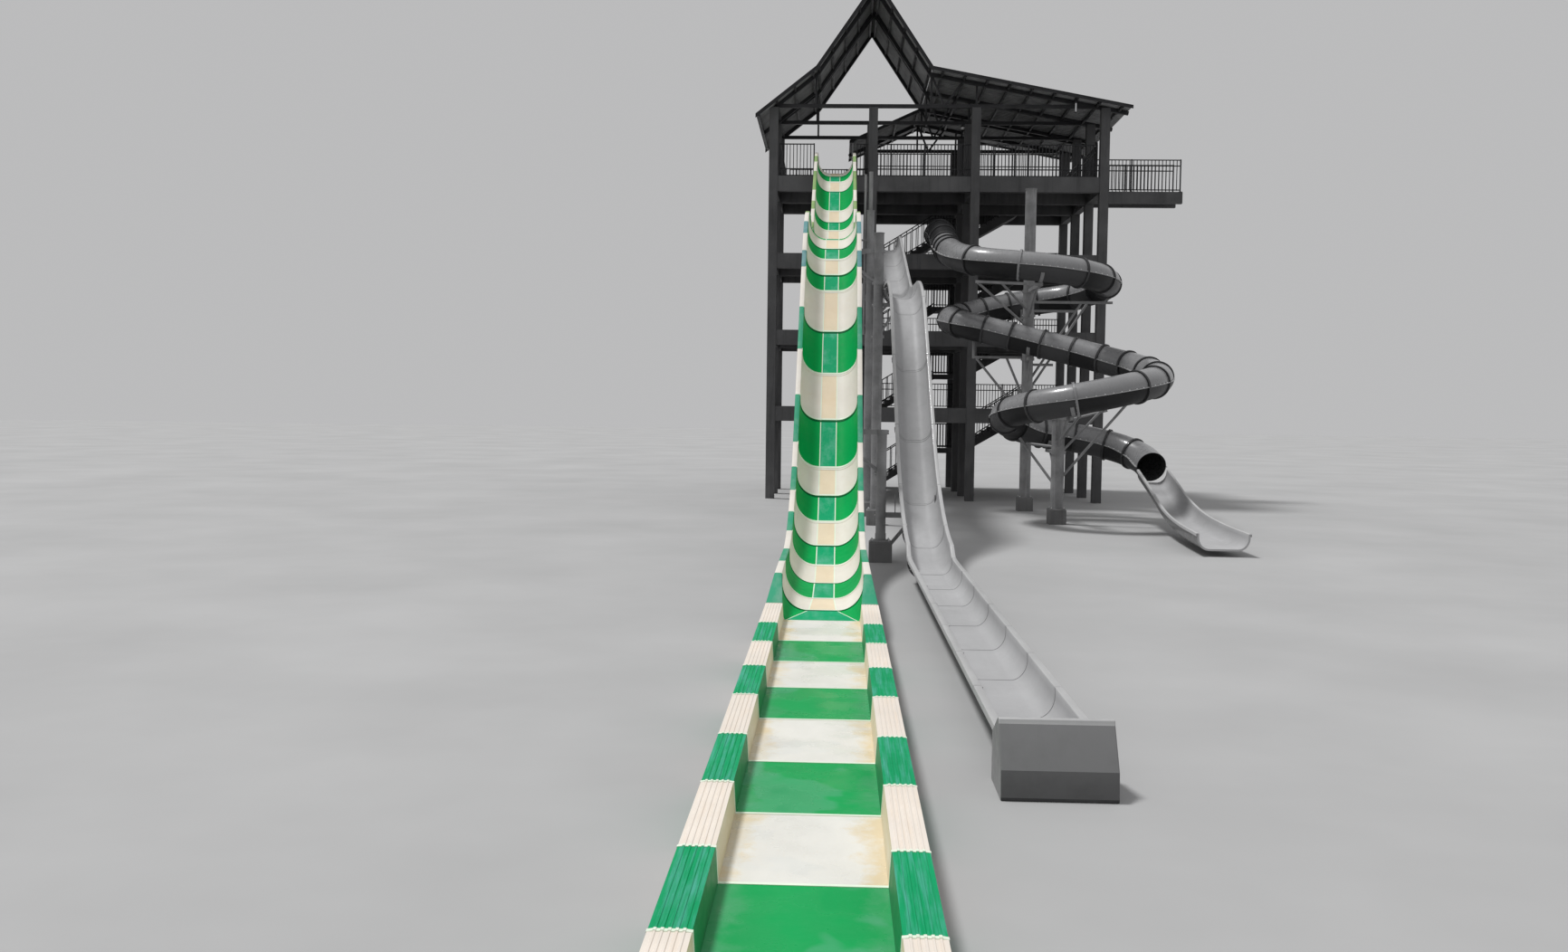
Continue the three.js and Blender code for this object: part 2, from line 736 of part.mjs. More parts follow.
for (const { name, corners } of GUARDS) {
  node(name, guardSolid(corners, topDeck), FINISH.steel);
}
const screenLine = [
  [inner.stepX + GUARD_CORNER_GAP, inner.back],
  [inner.right, inner.back],
];
node("screen_deck_rear", guardSolid(screenLine, topDeck, TIE_Z - topDeck - RAFTER), FINISH.steel);

// Bridge deck

const bridgeSoffit = block(
  [BRIDGE_X[0] - CUT_MARGIN, BRIDGE_X[1] + CUT_MARGIN],
  [BRIDGE_Y[0] + BRIDGE_EDGE_BEAM, BRIDGE_Y[1] - BRIDGE_EDGE_BEAM],
  [topDeck - BRIDGE_DEPTH - CUT_MARGIN, topDeck - SLAB],
);
const bridgeBlock = block(BRIDGE_X, BRIDGE_Y, [topDeck - BRIDGE_DEPTH, topDeck]);
node("bridge_deck", cut(bridgeBlock, [bridgeSoffit, ...columnClearances]), FINISH.concrete);

// Main slide

const flareStations = [MAIN_NECK_Y, MAIN_FLARE_Y, MAIN_MID_FLARE_Y].map((y) => ({
  y,
  z: RUN_OUT.floor,
  angle: 0,
}));
const mainStations = [...pathStations(MAIN_PATH), ...flareStations].sort((a, b) => b.y - a.y);

function mainShapeAt(y) {
  const end = MAIN_PATH.at(-1).y;
  if (y > MAIN_SHALLOW_Y[0]) return MAIN_TROUGH;
  if (y > MAIN_SHALLOW_Y[1]) {
    const t = (MAIN_SHALLOW_Y[0] - y) / (MAIN_SHALLOW_Y[0] - MAIN_SHALLOW_Y[1]);
    return blended(MAIN_TROUGH, MAIN_LOW_TROUGH, t);
  }
  if (y > MAIN_NECK_Y) return MAIN_LOW_TROUGH;
  if (y > MAIN_FLARE_Y) {
    return blended(MAIN_LOW_TROUGH, MAIN_NECK, (MAIN_NECK_Y - y) / (MAIN_NECK_Y - MAIN_FLARE_Y));
  }
  return blended(MAIN_NECK, MAIN_MOUTH, (MAIN_FLARE_Y - y) / (MAIN_FLARE_Y - end));
}

const MAIN_NODES = [
  { name: "main_slide_upper_drop", finish: FINISH.green },
  { name: "main_slide_bench", finish: FINISH.white },
  { name: "main_slide_steep_drop", finish: FINISH.green },
  { name: "main_slide_pull_out", finish: FINISH.white },
  { name: "main_slide_flare", finish: FINISH.green },
];
const mainCuts = [Infinity, ...MAIN_SPLITS_Y, -Infinity];
MAIN_NODES.forEach(({ name, finish }, i) => {
  const part = stretch(mainStations, mainCuts[i] - GAP, mainCuts[i + 1] + GAP);
  node(name, trough(part, mainShapeAt), finish).position.x = MAIN_X;
});

function runOutSection({ floor, top, half, opening, floorHalf, shell }) {
  const upper = [
    [floorHalf, floor],
    [opening, top],
    [half, top],
    [half, 0],
  ];
  const under = [
    [half - shell, 0],
    [half - shell, top - shell],
    [opening + shell, top - shell],
    [floorHalf + shell, floor - shell],
  ];
  const right = [...upper, ...under];
  const left = right.map(([x, z]) => [-x, z]).reverse();
  return [...right, ...left];
}

node(
  "run_out",
  extrudedAlongY(runOutSection(RUN_OUT), [RUN_OUT_Y[0] + GAP, RUN_OUT_Y[1] - GAP]),
  FINISH.white,
).position.x = MAIN_X;
node(
  "run_out_end_wall",
  block(
    [-RUN_OUT.half, RUN_OUT.half],
    [RUN_OUT_Y[0] - END_WALL.thickness, RUN_OUT_Y[0] - GAP],
    [0, END_WALL.height],
  ),
  FINISH.white,
).position.x = MAIN_X;

// Grey slide

const greyGroup = new THREE.Group();
greyGroup.position.set(GREY_X, GREY_TURN_Y, 0);
greyGroup.rotation.z = GREY_TURN;
model.add(greyGroup);
const greyStations = pathStations(GREY_PATH);

function greyShapeAt(y) {
  if (y > GREY_SHALLOW_Y[0]) return GREY_TROUGH;
  if (y < GREY_SHALLOW_Y[1]) return GREY_LOW_TROUGH;
  const t = (GREY_SHALLOW_Y[0] - y) / (GREY_SHALLOW_Y[0] - GREY_SHALLOW_Y[1]);
  return blended(GREY_TROUGH, GREY_LOW_TROUGH, t);
}

const greyCuts = [Infinity, ...GREY_SPLITS_Y, -Infinity];
["grey_slide_upper", "grey_slide_steep_drop", "grey_slide_run_out"].forEach((name, i) => {
  const part = stretch(greyStations, greyCuts[i] - GAP, greyCuts[i + 1] + GAP);
  node(name, trough(part, greyShapeAt), FINISH.greySlide, greyGroup).position.y = -GREY_TURN_Y;
});

const stopOutline = [
  [GREY_STOP.y[1], 0],
  [GREY_STOP.y[1], GREY_STOP.high],
  [GREY_STOP.y[0] + GREY_STOP.chamfer[0], GREY_STOP.low],
  [GREY_STOP.y[0], GREY_STOP.low - GREY_STOP.chamfer[1]],
  [GREY_STOP.y[0], 0],
];
const stopShape = new THREE.Shape(stopOutline.map(([y, z]) => new THREE.Vector2(y, z)));
const stopGeometry = new THREE.ExtrudeGeometry(stopShape, {
  depth: 2 * GREY_STOP.half,
  bevelEnabled: false,
});
stopGeometry.applyMatrix4(
  new THREE.Matrix4().makeBasis(
    new THREE.Vector3(0, 1, 0),
    new THREE.Vector3(0, 0, 1),
    new THREE.Vector3(1, 0, 0),
  ),
);
stopGeometry.translate(-GREY_STOP.half, 0, 0);
node("grey_slide_stop_block", solidOf(stopGeometry), FINISH.greySlide, greyGroup).position.y = -GREY_TURN_Y;

// Tube slide: one smooth centre line, cut into runs at its joints

const tubePoints = TUBE_RUNS.flatMap(({ points }, i) => (i ? points.slice(1) : points));
const tubeLine = new THREE.CatmullRomCurve3(
  tubePoints.map((p) => new THREE.Vector3(...p)),
  false,
  "centripetal",
);

class TubeStretch extends THREE.Curve {
  constructor(from, to) {
    super();
    this.from = from;
    this.to = to;
  }
  getPoint(t, target = new THREE.Vector3()) {
    return tubeLine.getPoint(THREE.MathUtils.lerp(this.from, this.to, t), target);
  }
}

function ringShape(radius, wall, sides) {
  const circle = (r) =>
    Array.from({ length: sides }, (_, i) => {
      const angle = ((i + 0.5) / sides) * 2 * Math.PI;
      return new THREE.Vector2(r * Math.cos(angle), r * Math.sin(angle));
    });
  const shape = new THREE.Shape(circle(radius));
  shape.holes.push(new THREE.Path(circle(radius - wall).reverse()));
  return shape;
}

let pointsBefore = 0;
const lastPoint = tubePoints.length - 1;
for (const { name, points } of TUBE_RUNS) {
  const from = pointsBefore / lastPoint;
  pointsBefore += points.length - 1;
  const to = pointsBefore / lastPoint;
  const trim = ((to - from) * GAP) / new TubeStretch(from, to).getLength();
  const line = new TubeStretch(from + trim, to - trim);
  const geometry = new THREE.ExtrudeGeometry(ringShape(TUBE_RADIUS, TUBE_WALL, TUBE_SIDES), {
    steps: Math.ceil(line.getLength() / TUBE_STEP),
    extrudePath: line,
    bevelEnabled: false,
  });
  node(name, solidOf(geometry), FINISH.tube);
}

const exitLine = new THREE.CatmullRomCurve3(EXIT_POINTS.map((p) => new THREE.Vector3(...p)));
const exitRings = Array.from({ length: EXIT_STATIONS + 1 }, (_, i) => {
  const share = i / EXIT_STATIONS;
  const flare = Math.max(0, (share - EXIT_FLARE_START) / (1 - EXIT_FLARE_START));
  const point = exitLine.getPointAt(share);
  const along = exitLine.getTangentAt(share);
  const side = new THREE.Vector3().crossVectors(along, new THREE.Vector3(0, 0, 1)).normalize();
  const up = new THREE.Vector3().crossVectors(side, along);
  return troughSection(blended(EXIT_TROUGH, EXIT_MOUTH, flare)).map((p) =>
    point.clone().addScaledVector(side, -p.x).addScaledVector(up, p.y),
  );
});
node("tube_exit_chute", loft(exitRings, troughSection(EXIT_TROUGH)), FINISH.tube);

// Supports of the open slides: a pipe between them with a bracket under each trough

function pedestal(x, y) {
  const { half, height } = PEDESTAL;
  return block([x - half, x + half], [y - half, y + half], [0, height]);
}

// The height at which a level arm, across the slide, touches the trough's floor from below
function undersideAt(stations, { shell }, y) {
  const { z, angle } = stationAt(stations, y);
  return z - shell / Math.cos(angle) - (BRACKET / 2) * Math.tan(angle) - GAP;
}

for (const { name, x, y, radius, top, spigotTop } of OPEN_SLIDE_PIPES) {
  const main = undersideAt(mainStations, MAIN_TROUGH, y);
  const grey = undersideAt(greyStations, GREY_TROUGH, y);
  const arm = (reach, z) => block(reach, [y - BRACKET / 2, y + BRACKET / 2], [z - BRACKET, z]);
  const bodies = [
    pipe([x, y, 0], [x, y, top], radius),
    pedestal(x, y),
    arm([MAIN_X - MAIN_ARM_REACH, x], main),
    arm([x, GREY_X + GREY_ARM_REACH], grey),
    bar([x, y, main - STRUT_DROP], [MAIN_X, y, main - BRACKET / 2], WEB, WEB),
  ];
  if (spigotTop) {
    bodies.push(pipe([x, y, top - SPIGOT.lap], [x, y, spigotTop], SPIGOT.radius, SPIGOT.sides));
  }
  node(name, joined(bodies), FINISH.pipe);
}

// Supports of the tube slide: a pipe with an arm and a raking strut under each run

for (const { name, x, y, radius, top, arms } of TUBE_PIPES) {
  const bodies = [pipe([x, y, 0], [x, y, top], radius), pedestal(x, y)];
  for (const [armX, armY, armTop] of arms) {
    const z = armTop - BRACKET / 2;
    const strutY = THREE.MathUtils.lerp(y, armY, TUBE_STRUT_SHARE);
    bodies.push(bar([x, y, z], [armX, armY, z], BRACKET, BRACKET));
    bodies.push(bar([x, y, z - STRUT_DROP], [armX, strutY, z], WEB, WEB));
  }
  node(name, joined(bodies), FINISH.pipe);
}

// The origin is on the ground, under the middle of the whole model

const scaled = new THREE.Group();
scaled.scale.setScalar(MODEL_SCALE * MM_PER_METRE);
scaled.add(model);
scaled.updateMatrixWorld(true);
const bounds = new THREE.Box3().setFromObject(model, true);
const middle = bounds.getCenter(new THREE.Vector3());
scaled.position.set(-middle.x, -middle.y, -bounds.min.z);

export default scaled;
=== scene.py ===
"""Looks of a 1:2 scale model of a water slide tower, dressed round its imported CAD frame.

Lengths are metres of the real tower, in the axes of the CAD source: X runs to the right along the
front, Y away from the front row of columns, Z up. to_model() turns them into the model's metres.
"""

import math

import bmesh
import bpy
import numpy as np
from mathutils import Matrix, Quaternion, Vector


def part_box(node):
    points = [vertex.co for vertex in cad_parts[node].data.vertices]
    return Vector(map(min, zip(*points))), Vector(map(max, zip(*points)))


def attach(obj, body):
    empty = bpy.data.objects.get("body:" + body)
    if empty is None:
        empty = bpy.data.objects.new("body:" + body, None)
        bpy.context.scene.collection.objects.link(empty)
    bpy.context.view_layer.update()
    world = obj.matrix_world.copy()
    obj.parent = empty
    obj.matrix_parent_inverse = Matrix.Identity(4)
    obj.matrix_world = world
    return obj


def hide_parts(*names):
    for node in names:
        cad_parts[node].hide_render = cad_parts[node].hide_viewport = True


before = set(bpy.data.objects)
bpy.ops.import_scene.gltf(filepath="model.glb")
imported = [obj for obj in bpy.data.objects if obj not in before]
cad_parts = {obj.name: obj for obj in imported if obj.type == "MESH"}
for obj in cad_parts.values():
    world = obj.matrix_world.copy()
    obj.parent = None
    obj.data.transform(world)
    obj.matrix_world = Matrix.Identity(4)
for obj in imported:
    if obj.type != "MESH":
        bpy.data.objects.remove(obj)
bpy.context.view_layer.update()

# Place of the real tower's axes in the model
MODEL_SCALE = 0.5
FIRST_COLUMN_CORNER = Vector((-2.935, -0.175, 0.0))
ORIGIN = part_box("column_A1")[0] - MODEL_SCALE * FIRST_COLUMN_CORNER

# The photograph's camera: its frame, its place in front of the tower, and where it looks
FRAME_WIDTH_PX = 1732
FOCAL_PX = 1440.5
SENSOR_MM = 36.0
CAMERA_AT = (-0.10, -52.68, 3.72)
CAMERA_YAW = 0.0397
CAMERA_PITCH = 0.0533
CAMERA_ROLL = 0.0121


def to_model(points):
    """Points of the real tower, as an array of model metres."""
    return np.asarray(points, float).reshape(-1, 3) * MODEL_SCALE + np.array(ORIGIN)


def real_box(node):
    """Lowest and highest corner of a CAD node, in metres of the real tower."""
    return [(corner - ORIGIN) / MODEL_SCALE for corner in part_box(node)]


def in_scene(name, data):
    """A new object of the scene."""
    made = bpy.data.objects.new(name, data)
    bpy.context.scene.collection.objects.link(made)
    return made


# Camera

camera = in_scene("camera", bpy.data.cameras.new("camera"))
bpy.context.scene.camera = camera
camera.data.sensor_width = SENSOR_MM
camera.data.lens = SENSOR_MM * FOCAL_PX / FRAME_WIDTH_PX
camera.data.clip_end = 500.0
camera.location = Vector(to_model(CAMERA_AT)[0])
level = math.cos(CAMERA_PITCH)
ahead = (-math.sin(CAMERA_YAW) * level, math.cos(CAMERA_YAW) * level, -math.sin(CAMERA_PITCH))
camera.rotation_mode = "QUATERNION"
roll = Quaternion((0, 0, 1), CAMERA_ROLL)
camera.rotation_quaternion = Vector(ahead).to_track_quat("-Z", "Y") @ roll
bpy.context.scene.view_settings.view_transform = "Standard"


# Sizes, as in the CAD source

COLUMN_LINES = {"A": 3, "B": 4, "C": 4, "D": 4}
DECKS = (1, 2, 3, 4)
DECK_TOP = {n: real_box(f"deck_{n}")[1].z for n in DECKS}
TOP_DECK = DECK_TOP[4]
COLUMN_X = {line: sum(c.x for c in real_box(f"column_{line}1")) / 2 for line in COLUMN_LINES}
ROW_Y = {row: sum(c.y for c in real_box(f"column_D{row}")) / 2 for row in (1, 2, 3, 4)}


def trough(flat, width, depth, rim, shell=0.05):
    """Sizes of an open trough: half its flat floor, half its opening, its depth, rim and wall."""
    return {"flat": flat, "width": width, "depth": depth, "rim": rim, "shell": shell}


MAIN_X = -0.29
RUN_OUT = {"floor": 0.33, "top": 0.6, "half": 0.895, "opening": 0.625, "floorHalf": 0.605}
MAIN_TROUGH = trough(0.2, 0.68, 0.8, 0.12)
MAIN_LOW_TROUGH = trough(0.2, 0.68, 0.66, 0.12)
MAIN_SHAPES = [
    (-24.5, MAIN_TROUGH),
    (-27.6, MAIN_LOW_TROUGH),
    (-29.7, MAIN_LOW_TROUGH),
    (-31.06, trough(0.24, 0.68, 0.62, 0.13)),
    (-32.1, trough(0.58, 0.625, 0.27, 0.27)),
]
# Corners of the slides' floors from the top down: y, z and radius
MAIN_PATH = [(2.1, 13.05, 0), (-0.9, 12.95, 3), (-8.42, 8.75, 6), (-15.2, 8.72, 5.5)]
MAIN_PATH += [(-24.51, RUN_OUT["floor"], 8), (-32.1, RUN_OUT["floor"], 0)]
# Joints between the slide's modules, which are white and green in turn, from its start to its mouth
MAIN_JOINTS = [2.1, -1.36, -1.93, -2.85, -4.63, -5.6, -6.3, -7.5, -8.7, -10.0, -11.3, -12.6, -14.4]
MAIN_JOINTS += [-15.43, -16.1, -16.73, -17.28, -18.56, -19.82, -21.08, -22.31, -23.08, -23.97]
MAIN_JOINTS += [-24.96, -26.05, -27.7, -29.7, -31.06, -32.1]
RUN_OUT_JOINTS = [-32.1, -33.95, -35.5, -37.1, -38.7, -40.4, -42.0, -43.6, -45.1, -46.7]
# CAD nodes of a slide, each with its lower end
MAIN_NODES = {"upper_drop": -6.6, "bench": -17.28, "steep_drop": -23.08, "pull_out": -31.06, "flare": -32.1}

GREY_X = 1.82
GREY_TURN = 0.0078
GREY_TURN_Y = -8.0
GREY_TROUGH = trough(0.13, 0.42, 0.55, 0.09, 0.045)
GREY_SHAPES = [(-24.6, GREY_TROUGH), (-24.95, trough(0.2, 0.42, 0.36, 0.1, 0.045))]
GREY_PATH = [(-0.18, 9.9, 0), (-1.9, 9.8, 3), (-9.4, 7.1, 6), (-14.3, 7.0, 5)]
GREY_PATH += [(-21.9, 0.2, 10), (-39.65, 0.14, 0)]
GREY_MODULE = 2.1
GREY_NODES = {"upper": -12.4, "steep_drop": -25.6, "run_out": -39.65}

TUBE_RADIUS = 0.49
TUBE_WALL = 0.02
# Points of the tube's middle line, for each of its CAD nodes
TUBE_POINTS = {
    "tube_entry_and_first_leg": [
        (3.86, 0.6, 10.72), (3.86, -0.4, 10.67), (3.82, -2.9, 10.14), (3.86, -4.6, 9.5),
        (4.2, -6.0, 9.06), (4.95, -7.0, 8.8), (6.1, -7.42, 8.65), (7.2, -7.5, 8.54),
    ],
    "tube_right_turn_and_second_leg": [
        (8.15, -7.28, 8.42), (9.0, -6.5, 8.32), (9.5, -5.2, 8.23), (9.38, -3.8, 8.12),
        (8.6, -2.75, 7.97), (7.6, -2.36, 7.84), (6.4, -2.3, 7.64),
    ],
    "tube_left_turn_and_third_leg": [
        (5.2, -2.5, 7.38), (4.35, -3.15, 7.13), (4.1, -4.1, 6.96), (4.6, -4.95, 6.73),
        (5.6, -5.36, 6.46), (7.0, -5.8, 6.08), (8.2, -6.3, 5.76),
    ],
    "tube_lower_right_turn_and_fourth_leg": [
        (9.3, -7.0, 5.42), (10.05, -8.0, 5.14), (10.3, -9.2, 4.9), (10.1, -10.5, 4.7),
        (9.4, -11.6, 4.5), (8.35, -12.25, 4.27), (7.2, -12.4, 4.04),
    ],
    "tube_lower_left_turn_and_exit_leg": [
        (6.35, -12.0, 3.88), (5.65, -11.1, 3.7), (5.4, -9.9, 3.49), (5.72, -8.75, 3.24),
        (6.5, -7.98, 3.0), (7.5, -7.76, 2.84), (8.6, -7.95, 2.66), (9.5, -8.4, 2.42),
        (10.02, -9.1, 2.14), (10.14, -9.9, 1.9),
    ],
}
# Joints between the tube's sections, as lengths along its middle line
TUBE_JOINTS = [0, 1.3, 2.6, 3.8, 4.8, 5.25, 5.7, 7.66, 9.42, 11.52, 12.8, 14, 15.3, 16.55, 18.05]
TUBE_JOINTS += [19.17, 20.2, 21.2, 22.2, 23.2, 24.25, 25.25, 26.4, 27.55, 28.63, 29.7, 30.9, 32.1]
TUBE_JOINTS += [33.3, 34.43, 36.57, 37.9, 39.1, 40.3, 41.5, 42.7, 43.9, 45.0, 46.0, 47.31]
PALE_JOINTS = (9.42, 36.57)
# The first sections, up to this length along the tube, are dark grey all round, upper half and seams too
TUBE_DARK_START_END = 4.8
EXIT_TROUGH = trough(0.16, 0.44, 0.45, 0.08)
EXIT_MOUTH = trough(0.36, 0.62, 0.4, 0.08)
EXIT_FLARE_START = 0.25
EXIT_POINTS = [(10.14, -10.0, 1.4), (10.17, -11.1, 1.05), (10.18, -12.4, 0.65)]
EXIT_POINTS += [(10.1, -14.2, 0.36), (9.97, -16.4, 0.24), (9.85, -19.0, 0.2)]


# Materials. Texture coordinates are the model's own metres, so a scale is in cells per model metre


class Paint:
    """A material's node tree, with short ways to add and join nodes."""

    def __init__(self, name, roughness=0.5, metallic=0.0, coat=0.0, coat_roughness=0.05, specular=0.5):
        self.material = bpy.data.materials.new(name)
        self.material.use_nodes = True
        self.tree = self.material.node_tree
        self.shader = self.tree.nodes["Principled BSDF"].inputs
        self.shader["Roughness"].default_value = roughness
        self.shader["Metallic"].default_value = metallic
        self.shader["Coat Weight"].default_value = coat
        self.shader["Coat Roughness"].default_value = coat_roughness
        self.shader["Specular IOR Level"].default_value = specular
        self.place = self.tree.nodes.new("ShaderNodeTexCoord").outputs["Object"]

    def link(self, value, socket):
        if isinstance(value, bpy.types.NodeSocket):
            self.tree.links.new(value, socket)
        elif value is not None:
            socket.default_value = value

    def node(self, kind, inputs, **settings):
        """A new node, with its settings, and with values or links in its inputs."""
        node = self.tree.nodes.new(f"ShaderNode{kind}")
        for name, value in settings.items():
            setattr(node, name, value)
        for socket, value in inputs.items():
            self.link(value, node.inputs[socket])
        return node

    def stretched(self, scale):
        """The texture coordinate, stretched by a factor along each axis."""
        return self.node("Mapping", {"Vector": self.place, "Scale": scale}).outputs["Vector"]

    def noise(self, scale, detail=4.0, rough=0.55, stretch=(1, 1, 1)):
        inputs = {"Vector": self.stretched(stretch), "Scale": scale, "Detail": detail, "Roughness": rough}
        return self.node("TexNoise", inputs).outputs["Fac"]

    def cells(self, scale):
        inputs = {"Vector": self.stretched((1, 1, 1)), "Scale": scale}
        return self.node("TexVoronoi", inputs).outputs["Distance"]

    def shades(self, factor, colour, *stops):
        """A ramp through darker and brighter shades of a colour, as stops of (place, brightness)."""
        node = self.node("ValToRGB", {"Fac": factor})
        elements = node.color_ramp.elements
        while len(elements) < len(stops):
            elements.new(0.5)
        for element, (place, brightness) in zip(elements, stops):
            element.position = place
            element.color = (*scaled(colour, brightness), 1.0)
        return node.outputs["Color"]

    def spread(self, factor, low, high, to_low=0.0, to_high=1.0):
        inputs = {"Value": factor, "From Min": low, "From Max": high, "To Min": to_low, "To Max": to_high}
        return self.node("MapRange", inputs).outputs["Result"]

    def math(self, operation, a, b=None):
        return self.node("Math", {0: a, 1: b}, operation=operation).outputs["Value"]

    def axis(self, name):
        return self.node("SeparateXYZ", {"Vector": self.place}).outputs[name]

    def cover(self, base, mask, share, colour):
        """The base with a colour on it where the mask shows, as thick as the share says."""
        inputs = {"Factor": self.math("MULTIPLY", mask, share), "A": base, "B": (*colour, 1.0)}
        return self.node("Mix", inputs, data_type="RGBA").outputs["Result"]

    def finish(self, colour, roughness=None, bump=None, distance=None, strength=None):
        """Joins the colour, roughness and height to the shader and returns the material."""
        self.link(colour, self.shader["Base Color"])
        self.link(roughness, self.shader["Roughness"])
        if bump is not None:
            inputs = {"Strength": strength, "Distance": distance, "Height": bump}
            self.link(self.node("Bump", inputs).outputs["Normal"], self.shader["Normal"])
        return self.material


def scaled(colour, factor):
    return tuple(min(1.0, channel * factor) for channel in colour)


def grey(level):
    return (level, level, level)


def concrete_paint(name, colour):
    """Painted concrete: cloudy, with runs of dirt down its faces and fine pitting."""
    paint = Paint(name, specular=0.3)
    cloud = paint.shades(paint.noise(1.6, 6.0), colour, (0.3, 0.78), (0.55, 1.0), (0.75, 1.3))
    runs = paint.spread(paint.noise(5.0, 5.0, 0.6, (1.6, 1.6, 0.12)), 0.52, 0.72)
    dirty = paint.cover(cloud, runs, 0.6, scaled(colour, 0.45))
    patches = paint.spread(paint.noise(0.7, 3.0, 0.5), 0.6, 0.7)
    weathered = paint.cover(dirty, patches, 0.35, scaled(colour, 1.7))
    height = paint.math("ADD", paint.noise(60.0, 6.0, 0.65), paint.math("MULTIPLY", paint.cells(26.0), 0.5))
    rough = paint.spread(paint.noise(3.0, 4.0), 0.3, 0.7, 0.75, 0.95)
    return paint.finish(weathered, rough, height, 0.003, 0.5)


def steel_paint(name, colour, worn, metallic=0.3, roughness=(0.4, 0.65)):
    """Painted steel: slight unevenness, worn and rusty specks, and dust on it."""
    paint = Paint(name, metallic=metallic)
    base = paint.shades(paint.noise(4.0, 5.0), colour, (0.3, 0.75), (0.7, 1.25))
    specks = paint.spread(paint.noise(38.0, 5.0, 0.7), 0.62, 0.7)
    runs = paint.spread(paint.noise(9.0, 4.0, 0.6, (1.5, 1.5, 0.1)), 0.55, 0.75)
    dusty = paint.cover(base, runs, 0.45, scaled(colour, 1.8))
    rough = paint.spread(paint.noise(7.0, 4.0), 0.3, 0.7, *roughness)
    return paint.finish(paint.cover(dusty, specks, 0.7, worn), rough, paint.noise(120.0, 3.0), 0.0006, 0.5)


SATIN = (0.5, 0.65)
WORN = (0.35, 0.5)
GLOSSY = (0.2, 0.4)
FLOW = (1.0, 0.16, 1.0)
CAP_RUN = (6.0, 0.3, 1.0)


def gelcoat_paint(name, colour, stain, stained, specular=0.4, roughness=SATIN, coat=0.0, flow=FLOW):
    """Moulded glass fibre with faint clouds, stains drawn out along the slide, and scuffs."""
    paint = Paint(name, coat=coat, coat_roughness=0.06, specular=specular)
    base = paint.shades(paint.noise(1.3, 4.0), colour, (0.3, 0.88), (0.6, 1.0), (0.8, 1.08))
    drawn = paint.spread(paint.noise(7.0, 6.0, 0.65, flow), 0.46, 0.72)
    specks = paint.spread(paint.noise(55.0, 4.0, 0.7), 0.62, 0.74)
    dirt = paint.math("ADD", drawn, paint.math("MULTIPLY", specks, 0.25))
    rough = paint.spread(paint.noise(16.0, 5.0), 0.3, 0.7, *roughness)
    height = paint.noise(34.0, 5.0, 0.6)
    return paint.finish(paint.cover(base, dirt, stained, stain), rough, height, 0.0009, 0.35)


